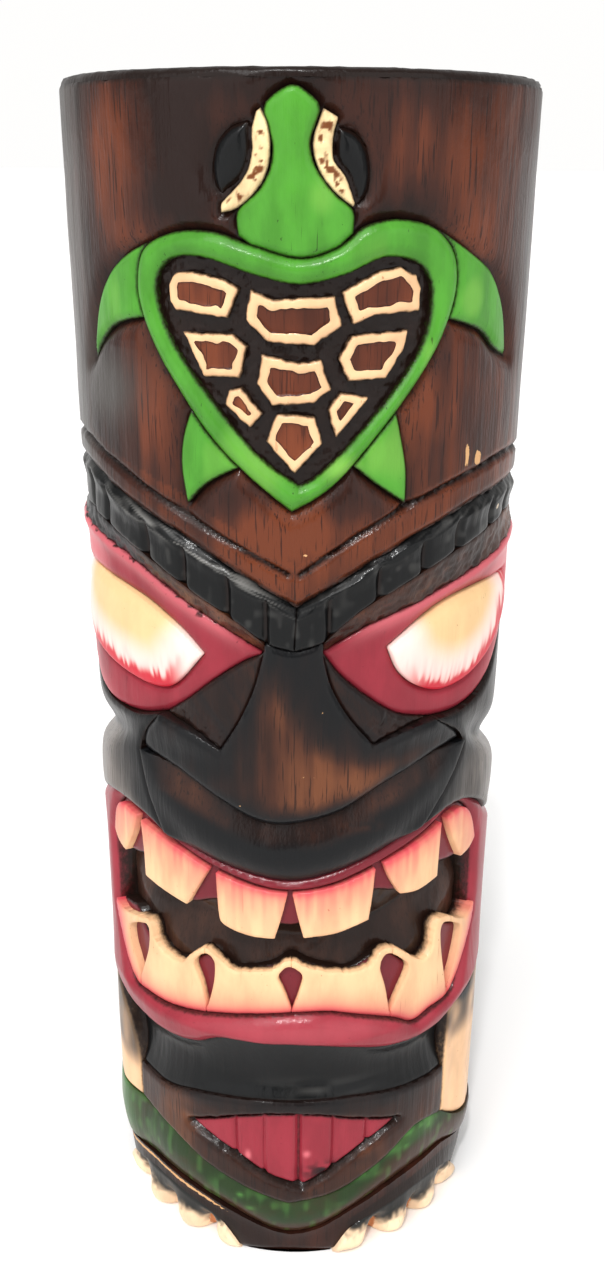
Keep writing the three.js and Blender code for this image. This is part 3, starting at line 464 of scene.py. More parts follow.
class Finish:
    """A material's nodes. Textures run in millimetres and stretch along the grain, upwards."""

    def __init__(self, name):
        self.material = bpy.data.materials.new(name)
        self.material.use_nodes = True
        self.nodes = self.material.node_tree.nodes
        self.links = self.material.node_tree.links
        self.shader = self.nodes["Principled BSDF"]
        self.place = self.nodes.new("ShaderNodeTexCoord").outputs["Object"]

    def noise(self, size, stretch=1.0, detail=3.0, rough=0.55):
        """Noise with lumps of a size in mm, stretched upwards."""
        spread = self.nodes.new("ShaderNodeMapping")
        across = 1 / (size * MM)
        spread.inputs["Scale"].default_value = (across, across, across / stretch)
        texture = self.nodes.new("ShaderNodeTexNoise")
        texture.inputs["Scale"].default_value = 1.0
        texture.inputs["Detail"].default_value = detail
        texture.inputs["Roughness"].default_value = rough
        self.links.new(self.place, spread.inputs["Vector"])
        self.links.new(spread.outputs["Vector"], texture.inputs["Vector"])
        return texture.outputs["Fac"]

    def mark(self, name):
        node = self.nodes.new("ShaderNodeAttribute")
        node.attribute_name = name
        return node.outputs["Fac"]

    def cover(self, name):
        """How much of the paint below a mark hides: half a mark hides three quarters of it."""
        left = self.math("SUBTRACT", 1.0, self.mark(name), clamp=True)
        return self.math("SUBTRACT", 1.0, self.math("POWER", left, 2.0))

    def put(self, socket, value):
        if hasattr(value, "is_output"):
            self.links.new(value, socket)
        else:
            socket.default_value = value

    def math(self, operation, a, b=0.0, clamp=False):
        node = self.nodes.new("ShaderNodeMath")
        node.operation = operation
        node.use_clamp = clamp
        self.put(node.inputs[0], a)
        self.put(node.inputs[1], b)
        return node.outputs[0]

    def spread(self, value, low, high, new_low=0.0, new_high=1.0):
        """Maps low..high to new_low..new_high, and no further."""
        node = self.nodes.new("ShaderNodeMapRange")
        node.interpolation_type = "SMOOTHSTEP"
        self.put(node.inputs["Value"], value)
        for socket, number in (("From Min", low), ("From Max", high), ("To Min", new_low),
                               ("To Max", new_high)):
            node.inputs[socket].default_value = number
        return node.outputs["Result"]

    def mix(self, amount, a, b, kind="MIX"):
        node = self.nodes.new("ShaderNodeMix")
        node.data_type = "RGBA"
        node.blend_type = kind
        self.put(node.inputs[0], amount)
        self.put(node.inputs[6], a)
        self.put(node.inputs[7], b)
        return node.outputs[2]

    def ramp(self, value, *stops):
        node = self.nodes.new("ShaderNodeValToRGB")
        band = node.color_ramp
        while len(band.elements) < len(stops):
            band.elements.new(0.5)
        for element, (place, colour) in zip(band.elements, stops):
            element.position = place
            element.color = colour
        self.put(node.inputs["Fac"], value)
        return node.outputs["Color"]

    def bump(self, height, depth, below=None):
        node = self.nodes.new("ShaderNodeBump")
        node.inputs["Strength"].default_value = 1.0
        node.inputs["Distance"].default_value = depth * MM
        self.put(node.inputs["Height"], height)
        if below:
            self.links.new(below, node.inputs["Normal"])
        return node.outputs["Normal"]

    def varnish(self, colour, roughness, normal, gloss, coat_roughness=0.13):
        self.put(self.shader.inputs["Base Color"], colour)
        self.put(self.shader.inputs["Roughness"], roughness)
        self.put(self.shader.inputs["Coat Weight"], gloss)
        self.shader.inputs["Coat Roughness"].default_value = coat_roughness
        self.shader.inputs["Coat IOR"].default_value = 1.45
        self.shader.inputs["Specular IOR Level"].default_value = SHEEN
        self.links.new(normal, self.shader.inputs["Normal"])
        self.links.new(normal, self.shader.inputs["Coat Normal"])
        return self.material


GLOSS = 0.34                    # weight of the varnish coat
SHEEN = 0.06                    # and of the paint's own shine under it
# Pale wood for chips and wear, also used for painted glints on torn wood.
PALE_WOOD_AND_GLINT = rgb(206, 160, 112)
# Dark brown for soil and scratches, and for painted shade in grooves and gaps.
DIRT_AND_SHADE = rgb(26, 15, 11)
SOOT = rgb(13, 14, 16)
# Grey for the log: a charcoal stain, and partly a painted grazing sheen towards the sides.
SMOKE_AND_SHEEN = rgb(72, 68, 65)


def wood_colours(finish, dark, middle, light):
    """Stained wood: soft blotches of stain, bands of grain and dark pore lines."""
    blotch = finish.noise(15, 2.2, 3)
    band = finish.noise(2.6, 22, 4)
    both = finish.math("ADD", finish.math("MULTIPLY", blotch, 0.72),
                       finish.math("MULTIPLY", band, 0.28))
    toned = finish.math("ADD", both, finish.math("MULTIPLY", finish.mark("tone"), 0.22))
    colour = finish.ramp(toned, (0.34, dark), (0.5, middle), (0.66, light))
    pores = finish.spread(finish.noise(0.32, 26, 2), 0.57, 0.65)
    return finish.mix(finish.math("MULTIPLY", pores, 0.75), colour, dark)


def grain_bump(finish, depth=0.05, wrinkle=0.04):
    """Grain that stands up under the varnish, and the varnish's own wrinkles."""
    grain = finish.bump(finish.noise(0.5, 26, 3), depth)
    return finish.bump(finish.noise(1.4, 1.6, 4, 0.6), wrinkle, grain)


def wear(finish, colour, second=None, worn_and_glint=PALE_WOOD_AND_GLINT, shade=SOOT):
    """Lays the marks over a colour: black, an airbrushed second colour that also carries painted sheen,
    bare wood that also carries painted glints, then dark brown for soil and painted shade.
    """
    ragged = finish.noise(0.7, 1.5, 4, 0.7)
    colour = finish.mix(finish.cover("shade"), colour, shade)
    if second:
        colour = finish.mix(finish.cover("blush_and_sheen"), colour, second)
    # Bare wood where paint is worn through, and painted glints on torn wood.
    bare = finish.spread(finish.math("ADD", finish.mark("worn_and_glint"), ragged), 0.98, 1.08)
    colour = finish.mix(bare, colour, worn_and_glint)
    # Dark brown laid on for soil and as painted shade in grooves and gaps, ragged at its edge.
    uneven = finish.math("MULTIPLY", ragged, 0.5)
    dirt_and_shade = finish.spread(finish.math("ADD", finish.mark("grime_and_shade"), uneven), 0.45, 1.05)
    return finish.mix(dirt_and_shade, colour, DIRT_AND_SHADE), bare


def wooden(name, dark, middle, light, shade=SOOT, wrinkle=0.05):
    finish = Finish(name)
    colour = wood_colours(finish, dark, middle, light)
    colour, bare = wear(finish, colour, shade=shade)
    rough = finish.math("ADD", 0.42, finish.math("MULTIPLY", bare, 0.3))
    gloss = finish.math("SUBTRACT", GLOSS, finish.math("MULTIPLY", bare, 0.2), clamp=True)
    return finish.varnish(colour, rough, grain_bump(finish, 0.07, wrinkle), gloss)


def painted(name, paint, second=None, worn_and_glint=PALE_WOOD_AND_GLINT, shade=SOOT, scratch=0.35,
            scratch_colour=DIRT_AND_SHADE, wrinkle=0.03, uneven=0.12):
    """Brushed paint on wood: uneven cover, pore lines showing through, specks and wear."""
    finish = Finish(name)
    patchy = finish.spread(finish.noise(5, 2.5, 4), 0.3, 0.7)
    thin, thick = (scaled(paint, 1 - uneven), scaled(paint, 1 + uneven))
    colour = finish.mix(patchy, thin, thick)
    lines = finish.spread(finish.noise(0.38, 30, 2), 0.66, 0.72)
    places = finish.spread(finish.noise(7, 3, 2), 0.48, 0.62)
    scratched = finish.math("MULTIPLY", finish.math("MULTIPLY", lines, places), scratch)
    specks = finish.spread(finish.noise(0.55, 1.3, 1), 0.76, 0.8, 0, 0.6)
    colour = finish.mix(scratched, colour, scratch_colour)
    colour = finish.mix(specks, colour, scratch_colour)
    colour, bare = wear(finish, colour, second, worn_and_glint, shade)
    rough = finish.math("ADD", 0.4, finish.math("MULTIPLY", bare, 0.35))
    gloss = finish.math("SUBTRACT", GLOSS, finish.math("MULTIPLY", bare, 0.2), clamp=True)
    return finish.varnish(colour, rough, grain_bump(finish, 0.045, wrinkle), gloss)


def end_grain():
    """Sawn top of the log: growth rings round the bore, stained dark."""
    finish = Finish("end_grain")
    rings = finish.nodes.new("ShaderNodeTexWave")
    rings.wave_type = "RINGS"
    rings.rings_direction = "Z"
    rings.inputs["Scale"].default_value = 190
    rings.inputs["Distortion"].default_value = 2.2
    rings.inputs["Detail"].default_value = 3
    finish.links.new(finish.place, rings.inputs["Vector"])
    colour = finish.ramp(rings.outputs["Fac"], (0.2, rgb(38, 20, 14)), (0.8, rgb(84, 48, 31)))
    colour, _ = wear(finish, colour)
    normal = finish.bump(finish.noise(0.5, 1, 4, 0.7), 0.12)
    return finish.varnish(colour, 0.5, normal, 0.5, 0.25)


def brushed_steel():
    finish = Finish("brushed_steel")
    lines = finish.noise(0.25, 0.04, 3)
    finish.put(finish.shader.inputs["Base Color"],
               finish.ramp(finish.noise(9, 1, 2), (0.3, rgb(176, 178, 180)),
                           (0.7, rgb(205, 206, 207))))
    finish.shader.inputs["Metallic"].default_value = 1.0
    finish.put(finish.shader.inputs["Roughness"], finish.spread(lines, 0.3, 0.7, 0.22, 0.36))
    finish.links.new(finish.bump(lines, 0.01), finish.shader.inputs["Normal"])
    return finish.material


GROUND = wooden("stained_wood", rgb(32, 17, 13), rgb(58, 29, 20), rgb(102, 50, 28), SMOKE_AND_SHEEN,
                wrinkle=0.09)
BROWN = wooden("brown_stain", rgb(34, 19, 14), rgb(66, 36, 24), rgb(106, 62, 38))
CHARCOAL = wooden("charcoal_stain", rgb(48, 44, 42), rgb(82, 76, 72), rgb(116, 108, 102))
THROAT = wooden("throat_stain", rgb(36, 22, 17), rgb(64, 40, 30), rgb(112, 74, 54))
GREEN = painted("green_paint", rgb(72, 140, 44), rgb(124, 180, 74), scratch=0.65, wrinkle=0.06,
                uneven=0.18)
CREAM = painted("cream_paint", rgb(230, 184, 140), rgb(208, 74, 84), rgb(150, 92, 48),
                scratch_colour=rgb(150, 96, 60), scratch=0.5)
CREAM_WOOD = wooden("scute_wood", rgb(56, 26, 16), rgb(92, 44, 26), rgb(134, 68, 38))
FOOT = painted("foot_paint", rgb(238, 204, 168), None, rgb(190, 124, 82), shade=rgb(30, 31, 30),
               scratch=0.3, scratch_colour=rgb(60, 44, 34), uneven=0.2)
# The black's pale grey second colour is a painted sheen, and painted highlights on the brow and chin band.
BLACK = painted("black_paint", rgb(11, 12, 13), rgb(150, 148, 144), rgb(196, 180, 160),
                scratch=0.2, wrinkle=0.06)
# The crimson's lighter second colour is paint in the eye sockets, and a painted highlight and sheen on the
# lips.
CRIMSON = painted("crimson_paint", rgb(140, 42, 54), rgb(206, 104, 112), scratch=0.4,
                  scratch_colour=rgb(92, 22, 32))
# The olive's lighter green second colour lays painted highlights and lighter dabs on the skirt.
OLIVE = painted("olive_paint", rgb(34, 52, 24), rgb(84, 140, 66), rgb(84, 160, 70),
                shade=rgb(60, 38, 28))
EYEBALL = painted("eyeball_paint", rgb(226, 188, 138), rgb(200, 40, 56), rgb(236, 188, 172),
                  shade=rgb(248, 214, 206), scratch=0.25, scratch_colour=rgb(150, 96, 60),
                  uneven=0.06)
CORK = painted("bare_edge", rgb(240, 206, 156), rgb(112, 62, 28), rgb(112, 62, 28), scratch=0.0,
               uneven=0.25, wrinkle=0.16)
END_GRAIN = end_grain()
STEEL = brushed_steel()

# The frame's material slot that matches each of them.
SLOTS = {GROUND: "stained_wood", BROWN: "brown_stain", CHARCOAL: "charcoal_stain",
         GREEN: "green_paint", CREAM: "cream_paint", EYEBALL: "cream_paint", CORK: "cream_paint",
         FOOT: "cream_paint", BLACK: "black_paint", CRIMSON: "crimson_paint",
         OLIVE: "olive_paint", STEEL: "liner_steel"}


# ---------------------------------------------------------------- lines of the carving

# The same lines as the CAD model's: brow, eyes, nose, lips, mouth, chin and skirt.
BROW_TOP_L = [[-MASK_END, 142.6], [-48, 143.8], [-40, 143.4], [-30, 140.3], [-20, 137],
    [-10, 132], [-0.2, 126.4]]
BROW_TOP_R = [[MASK_END, 140], [48, 140.6], [40, 140.7], [30, 139.7], [20, 137], [10, 132.4],
    [-0.2, 126.4]]
BROW_LOW_L = [[-MASK_END, 135.6], [-48, 136.2], [-40, 135.4], [-30, 133.3], [-20, 129.2],
    [-10, 123.9], [-5.2, 120.4]]
BROW_LOW_R = [[MASK_END, 134.6], [45, 135.3], [35, 134.2], [25, 132], [15, 128.2], [9, 125],
    [4, 120.7]]
HAIRLINE_L = [[-55, 147.4], [-45, 148.2], [-35, 146.3], [-25, 142.8], [-12, 137],
    [-1.6, 131.6]]
HAIRLINE_R = [[0.2, 131.6], [10, 138], [20, 142.3], [30, 144.8], [42, 145.8],
    [55, 144.8]]
CORNER_L = [-5.5, 118.3]
CORNER_R = [3.9, 118.6]
EYE_TOP_L = [[-MASK_END, 134.2], [-50, 134], [-42, 132.6], [-33, 130.4], [-25, 127.2], [-15, 123],
    CORNER_L]
EYE_TOP_R = [[MASK_END, 131.6], [50, 131.4], [39.5, 129.2], [30.5, 127], [20, 124.5], [12, 122.3],
    CORNER_R]
EYE_LOW_L = [CORNER_L, [-10, 115.9], [-15, 112.5], [-20, 108.6], [-25, 105.3]]
EYE_LOW_R = [CORNER_R, [7, 114.6], [12, 110.4], [18, 106.6], [25, 104.6]]
EYE_SIDE_L = [[-25, 105.3], [-31, 103.6], [-37, 103.2], [-42, 103.8], [-46, 105.6], [-50, 110.2],
    [-55, 116.4], [-MASK_END, 123.4]]
EYE_SIDE_R = [[25, 104.6], [31, 104.2], [37, 105.4], [42, 108.4], [45.6, 112.6], [48.6, 117],
    [54, 120], [MASK_END, 122]]
NOSE_TOP = [[-5.2, 120.4], [-0.6, 119.4], [4, 120.7]]
FLANK_L = [CORNER_L, [-7, 112.6], [-9.6, 106.8], [-12.8, 101.8]]
FLANK_R = [CORNER_R, [5.2, 113.4], [8.2, 108], [12.4, 102.9]]
LEDGE_L = [[-12.8, 101.8], [-18, 104], [-25, 105.3]]
LEDGE_R = [[12.4, 102.9], [19, 104.3], [25, 104.6]]
NOSE_LOW = [[-30.5, 97.6], [-21, 96], [-13, 92.6], [-6, 89.8], [0, 89.9], [7, 91.6],
    [15, 95.4], [25, 98.2], [33.5, 98.6]]
NOSE_END_L = [[-25, 105.3], [-29, 101], [-30.5, 97.6]]
NOSE_END_R = [[25, 104.6], [31, 101], [33.5, 98.6]]
LIP_TOP_L = [[-MASK_END, 79], [-50, 82.8], [-44, 85.4], [-38, 86.4], [-31, 85.8], [-25, 84]]
LIP_TOP_M = [[-25, 84], [-15, 81], [-6, 79.2], [0, 78.8], [7, 80.2], [15, 82.8], [23, 86]]
LIP_TOP_R = [[23, 86], [30, 87.4], [36, 86.6], [43, 83.2], [50, 78.6], [MASK_END, 74]]
ROLL_END_L = [[-25, 84], [-28.5, 90.6], [-30.5, 97.6]]
ROLL_END_R = [[33.5, 98.6], [29.6, 93], [23, 86]]
LIP_LOW_R = [[MASK_END, 48.6], [50, 47.6], [43, 46.4], [34.6, 44.2]]
LIP_LOW_M = [[34.6, 44.2], [30, 43], [24, 42.8], [17, 43.9], [9, 46.2], [2, 47.4],
    [-6, 47.4], [-14, 46.9], [-20, 43.9], [-28, 42.7], [-38, 43], [-44.6, 44.2]]
LIP_LOW_L = [[-44.6, 44.2], [-52, 45.4], [-MASK_END, 47]]
MOUTH_TOP = [[-45.4, 76], [-41.5, 83.4], [-37, 85], [-31, 84.4], [-24, 82.2], [-15, 79.4],
    [-6, 77.2], [0, 76.8], [7, 77.9], [15, 80.4], [22, 82.6], [29, 85.1], [34, 86], [38.6, 83.6],
    [42, 76.4]]
MOUTH_LOW = [[42.4, 60], [40.5, 57], [36.6, 51], [33.6, 48.2], [28, 47.8], [23.6, 46.9],
    [19, 49.2], [12, 51.6], [5, 53.2], [-5, 52.6], [-15, 51], [-25, 49.3], [-32, 49], [-37, 49.2],
    [-41, 53.4], [-45.4, 62]]
GUM_EDGE_TOP = [[-45.4, 76], [-38.6, 74.8], [-31.6, 76], [-26, 73.2], [-21.4, 70.9],
    [-15, 72.5], [-8, 70.6], [-1, 69.3], [7, 71.6], [14.2, 74.6], [20, 73.6], [26, 74.6],
    [28.8, 76], [35.6, 75], [42, 76.4]]
GUM_EDGE_LOW = [[-45.4, 62], [-41, 63], [-37.5, 63.4], [-33.4, 60], [-28, 58.6],
    [-22, 59.4], [-17.4, 61.6], [-12, 60.2], [-5, 61.4], [-1, 63.2], [3, 61.8], [10, 60.4],
    [15, 62], [18, 62.4], [24, 58.4], [29, 59.6], [31, 63.4], [36, 61.6], [42.4, 60]]
PANEL_S_L = -37.7
PANEL_S_R = 34.4
PANEL_FRONT_L = [[PANEL_S_L, 30.5], [-38.6, 34.6], [-41, 39.4], [-44.6, 44.2]]
CHIN_LOW_M = [[PANEL_S_L, 30.5], [-28, 31], [-20, 33], [-10, 34.4], [0, 34.8], [10, 35],
    [18, 33.8], [26, 32.6], [PANEL_S_R, 31.8]]
SKIRT_TOP_L = [[-MASK_END, 19.6], [-46, 21.6], [PANEL_S_L, 22.8]]
SKIRT_TOP_ML = [[PANEL_S_L, 22.8], [-33, 22.6], [-26, 21.2], [-15, 16.8], [-1.5, 12.4]]
SKIRT_TOP_MR = [[-1.5, 12.4], [8, 14.6], [18, 19.2], [26, 23], [PANEL_S_R, 21.4]]
SKIRT_TOP_R = [[PANEL_S_R, 21.4], [44, 16], [MASK_END, 13]]
SKIRT_LOW = [[-MASK_END, 8], [-46, 10], [-34, 12], [-22, 11.4], [-12, 8.6], [-3, 4.8], [4, 5.6],
    [12, 10], [22, 13.6], [34, 14], [44, 11.4], [MASK_END, 9]]

SHELL_OUTER = outline(
    [[-1, 141], [-7, 145.8], [-12.5, 151], [-18, 158], [-21.5, 163], [-24, 168], [-24.8, 172.5],
        [-23.2, 177], [-18, 179.3], [-12, 179.5], [-6, 177.7], [0, 176.3], [5, 177.6], [9, 180.4],
        [14, 181.2], [19.5, 179.9], [23, 176.5], [23.6, 171.5], [21.5, 165.5], [18, 160],
        [12, 152.6], [5, 144.8], [-1, 141]],
)
SHELL_INNER = outline(
    [[0, 144.9], [-6, 149.3], [-13, 157.2], [-19, 165], [-21.2, 171.5], [-19, 175.5],
        [-13.5, 176.1], [-6, 173.9], [0, 172.8], [6, 174], [12, 176.3], [17.5, 174.9],
        [19.3, 170.5], [17.4, 163.2], [10, 153.8], [3, 146.6], [0, 144.9]],
)
HEAD = outline(
    [[-8.4, 179], [-8.5, 182.2], [-5.6, 184.8], [-4, 187.6], [-3.7, 190.8], [-4.8, 194.9],
        [-3.2, 196.8], [-1, 197.8], [1, 196.8], [2.5, 194.9], [1.3, 191], [2, 187.8],
        [4.6, 184.4], [7.1, 182.4], [7.2, 179.4]],
    [[7.2, 179.4], [0, 174.5], [-8.4, 179]],
)
EYELID_LEFT = outline(
    [[-5.2, 195], [-4.3, 193.2], [-3.9, 190.6], [-4.3, 187.4], [-5.8, 184.8], [-8.4, 182.6],
        [-10.6, 182]],
    [[-10.6, 183.2], [-7.6, 186.2], [-6.4, 189], [-6.3, 192.6], [-5.7, 194.6]],
)
EYELID_RIGHT = outline(
    [[2.9, 195], [1.6, 191], [2.3, 187.6], [4.3, 184.9], [7, 182.8]],
    [[7.2, 183.3], [5.9, 186.6], [4.3, 188.6], [4.2, 191.4], [4.8, 193.9]],
)
TURTLE_EYE_LEFT = outline(
    [[-6.9, 193.4], [-9.2, 192.7], [-11.2, 190.8], [-12, 188], [-11.6, 185.4], [-10.7, 184.4]],
    [[-10.7, 184.4], [-7.9, 186.6], [-6.8, 189.2], [-6.9, 193.4]],
)
TURTLE_EYE_RIGHT = outline(
    [[4.9, 192.7], [6.8, 192.2], [8.6, 190.4], [9.4, 187.4], [9, 184.6], [7.7, 183.2]],
    [[7.7, 183.2], [6.3, 186.8], [4.7, 188.9], [4.9, 192.7]],
)
FRONT_FLIPPER_LEFT = outline(
    [[-22, 178], [-27, 176], [-31.5, 173], [-35.5, 168], [-38.4, 160.2]],
    [[-38.4, 160.2], [-35, 163.2], [-30, 166.2], [-22, 167.9]],
)
FRONT_FLIPPER_RIGHT = outline(
    [[20, 179.8], [27, 176.2], [32, 173.3], [36.4, 168], [39, 160.8]],
    [[39, 160.8], [34, 162.6], [29.5, 165.6], [20.5, 168.2]],
)
REAR_FLIPPER_LEFT = outline(
    [[-15.6, 156], [-17.4, 151], [-17.8, 146.5], [-17, 141.2]],
    [[-17, 141.2], [-13.5, 144.7], [-8, 147.6]],
)
REAR_FLIPPER_RIGHT = outline(
    [[13.9, 156], [15.2, 151], [16.1, 146.5], [16.2, 141.5]],
    [[16.2, 141.5], [11.5, 144.7], [7.2, 148.2]],
)
SCUTES = {
    "scute_top_left": [[-18.9, 170], [-19, 172.4], [-17.9, 174], [-15, 174.3], [-10, 173.2],
        [-8.2, 172.2], [-10, 168.2], [-17.8, 168.9]],
    "scute_top_middle": [[-6.7, 172], [-3.6, 170.8], [4.8, 171.3], [5.8, 167.3], [2, 164.7],
        [-4.4, 165], [-7.5, 168]],
    "scute_top_right": [[5.7, 171.8], [11, 174.6], [14, 175], [16.5, 173.8], [17.4, 172],
        [17.2, 169], [10.5, 168.6], [7.3, 167.4]],
    "scute_middle_left": [[-16.8, 166], [-9.4, 166], [-7.2, 164.5], [-8.4, 160], [-13.8, 160]],
    "scute_middle": [[-5.3, 163.4], [0, 162.3], [3, 162.7], [4.4, 158.6], [2, 156.7],
        [-3.8, 156.4], [-5.9, 159.3]],
    "scute_middle_right": [[7.2, 166], [15.5, 166.5], [15, 164], [12.3, 159.9], [6.8, 159.7],
        [5.3, 162.8]],
    "scute_low_left": [[-10, 158.3], [-8.2, 158.7], [-5.2, 155.2], [-7, 153], [-10.6, 156.2]],
    "scute_low_right": [[4, 155.8], [5.8, 158.2], [9.9, 157.4], [5.2, 151.7]],
    "scute_tail": [[-3.2, 155.2], [2.3, 154.9], [3.3, 151], [-0.6, 146.6], [-4.7, 151.2]],
}

EYEBALL_RUNS_L = (
    [[-16.8, 116.6], [-22, 120.4], [-30, 123.6], [-38, 125.2], [-46, 125.8], [-53, 124.8]],
    [[-53, 124.8], [-51.4, 119.4], [-46, 114.2], [-40, 111.6], [-34, 110], [-28, 109.2],
        [-23, 110.4], [-16.8, 116.6]],
)
EYEBALL_RUNS_R = (
    [[15.8, 118], [22, 121.6], [28, 123.7], [35, 124.6], [42, 124.6], [48.4, 124.4]],
    [[48.4, 124.4], [45.8, 119.8], [42.4, 115.4], [38.4, 111.8], [33.4, 109.4], [27.6, 108.8],
        [22, 110.6], [18, 113.8], [15.8, 118]],
)
WAIST_L = [[-MASK_END, 93], [-50, 95.4], [-42, 97.6], [-33, 100]]
WAIST_R = [[MASK_END, 90.5], [50, 93.4], [42, 96.4], [33, 99.6]]

UPPER_TEETH = (
    outline(
        [[-43, 77.4], [-41.4, 82.4], [-38.4, 84.2], [-33.5, 83.8]],
        [[-33.5, 83.8], [-35.4, 79.4], [-38.4, 75]],
        [[-38.4, 75], [-41, 75.8], [-43, 77.4]]),
    outline(
        [[-32.4, 83.4], [-25, 81.8], [-16.2, 79]],
        [[-16.2, 79], [-18.6, 75.2], [-21.2, 70.9]],
        [[-21.2, 70.9], [-26, 71.8], [-31.6, 72.9]],
        [[-31.6, 72.9], [-31.8, 78], [-32.4, 83.4]]),
    outline(
        [[-15, 78.6], [-8, 76.9], [-1.6, 76.2]],
        [[-1.6, 76.2], [-2.8, 71.4], [-4, 67.5]],
        [[-4, 67.5], [-9, 67.6], [-13.6, 69], [-14.6, 71.4], [-15, 78.6]]),
    outline(
        [[-0.8, 76.2], [7, 77.3], [14.5, 79.6]],
        [[14.5, 79.6], [14, 74.4], [13.4, 70]],
        [[13.4, 70], [7, 68.3], [1.3, 67.7]],
        [[1.3, 67.7], [0.2, 71.8], [-0.8, 76.2]]),
    outline(
        [[16, 80.3], [22, 82], [29, 84.4]],
        [[29, 84.4], [28.7, 79], [28.5, 74.2]],
        [[28.5, 74.2], [24, 73.1], [19.7, 73.6]],
        [[19.7, 73.6], [17.6, 76.8], [16, 80.3]]),
    outline(
        [[30.4, 84.8], [34.4, 85.3], [38, 83], [41, 77]],
        [[41, 77], [38.4, 75.6], [35.6, 75.3]],
        [[35.6, 75.3], [32.6, 80], [30.4, 84.8]]),
)
TONGUE = outline(
    [[-21.8, 25.7], [-12, 29.6], [-4, 31.3], [4, 31.3], [12, 29.3], [21, 26.6]],
    [[21, 26.6], [13, 23.2], [6, 18.8], [1.2, 16.2]],
    [[1.2, 16.2], [-5, 18], [-12, 21.8], [-21.8, 25.7]],
)

FOOT_ARC_L = [[-11, 0.2], [-14.6, 5.6], [-20, 8.2], [-29, 9.6], [-37, 8.6], [-45, 4.8], [-49, 0.2]]
FOOT_ARC_R = [[7.6, 0.2], [11, 5.4], [17, 8.2], [25, 9.9], [33, 9.4], [40, 6], [45, 0.2]]
MASK = outline(BROW_TOP_L, back(BROW_TOP_R), [[MASK_END, 140], [MASK_END, 9]], back(SKIRT_LOW),
               [[-MASK_END, 8], [-MASK_END, 142.6]])
THROAT_EDGE = outline(GUM_EDGE_TOP, [[42, 76.4], [42.4, 60]], back(GUM_EDGE_LOW),
                      [[-45.4, 62], [-45.4, 76]])
FOOT_L = outline(FOOT_ARC_L, [[-49, -1], [-11, -1]])
FOOT_R = outline(FOOT_ARC_R, [[45, -1], [7.6, -1]])

TURTLE_EDGES = [SHELL_OUTER, HEAD, EYELID_LEFT, EYELID_RIGHT, TURTLE_EYE_LEFT, TURTLE_EYE_RIGHT,
                FRONT_FLIPPER_LEFT, FRONT_FLIPPER_RIGHT, REAR_FLIPPER_LEFT, REAR_FLIPPER_RIGHT]
TURTLE = any_of(*[inside_of(points) for points in TURTLE_EDGES])
SCUTE_FIELDS = {name: inside_of(np.array(corners, float)) for name, corners in SCUTES.items()}


# ---------------------------------------------------------------- the log

LOG_MATERIALS = [GROUND, END_GRAIN, THROAT]
ON_SIDE, ON_END, IN_MOUTH = range(3)

# Spots on the log as (centre, half size, amount): lighter stain, or darker where below 0.
LIGHT_PATCHES = (
    ((-23, 153), (4, 7), 0.9), ((19, 155), (6, 7), 0.8), ((-31.5, 187), (2.2, 9), 0.8),
    ((22, 190), (10, 6), 0.5), ((27, 178), (4, 8), 0.5), ((0, 137.5), (9, 3), 0.5),
    ((-12, 190), (8, 9), -0.7), ((-36, 178), (5, 14), -0.6), ((14, 182), (5, 3), -0.6),
    ((-20, 183), (6, 3), -0.5), ((0, 199), (34, 3), -0.6), ((33, 152), (5, 6), -0.3),
    ((-8, 143), (5, 3), -0.5), ((9, 143), (5, 3), -0.5),
)
CHIPS = (((27.2, 147.4), (0.5, 2.2), 1.0), ((29.9, 146.6), (1.0, 1.5), 1.0),
         ((31.6, 152), (0.3, 2), 0.4), ((35, 154), (0.3, 2), 0.4), ((1, 134.6), (0.6, 0.4), 0.7))


def log_depth(s, z, edge):
    out = outside(TURTLE, s, z)
    d = tool_marks(s, z, 20) + 0.12 * noise(s, z, (9, 20), 21)
    d = d - 1.1 * np.exp(-(out / 1.2) ** 1.5) - 0.5 * np.exp(-out / 4)
    line = near_line(s, z, HAIRLINE_L, HAIRLINE_R)
    splinters = fibres(s, z, (3, 0.5), 23)
    d = d - 0.8 * bell(line, 0.55) + 0.3 * splinters * bell(line, 0.9)
    brow = np.abs(edge)
    near_brow = (z > 120) & (z < 150) & (np.abs(s) < MASK_END + 1)
    torn = np.where(near_brow, bell(brow, 0.8), 0)
    d = d - 0.8 * torn + 0.3 * torn * splinters
    rim = fade(z, HEIGHT - 1.8, HEIGHT - 0.9)
    d = d - 0.25 * rim + 0.18 * rim * noise(s, z, (1.1, 0.6), 22)
    below = line_at(SKIRT_LOW, s) - z
    valley = np.where((np.abs(s) < MASK_END) & (z < 20), bell(below, 5), 0)
    valley = valley * (1 - 0.7 * fade(np.abs(s), 32, 46))
    strip = fade(z, 0, 1.2)
    return d - 0.5 * (1 - strip) - 1.3 * valley


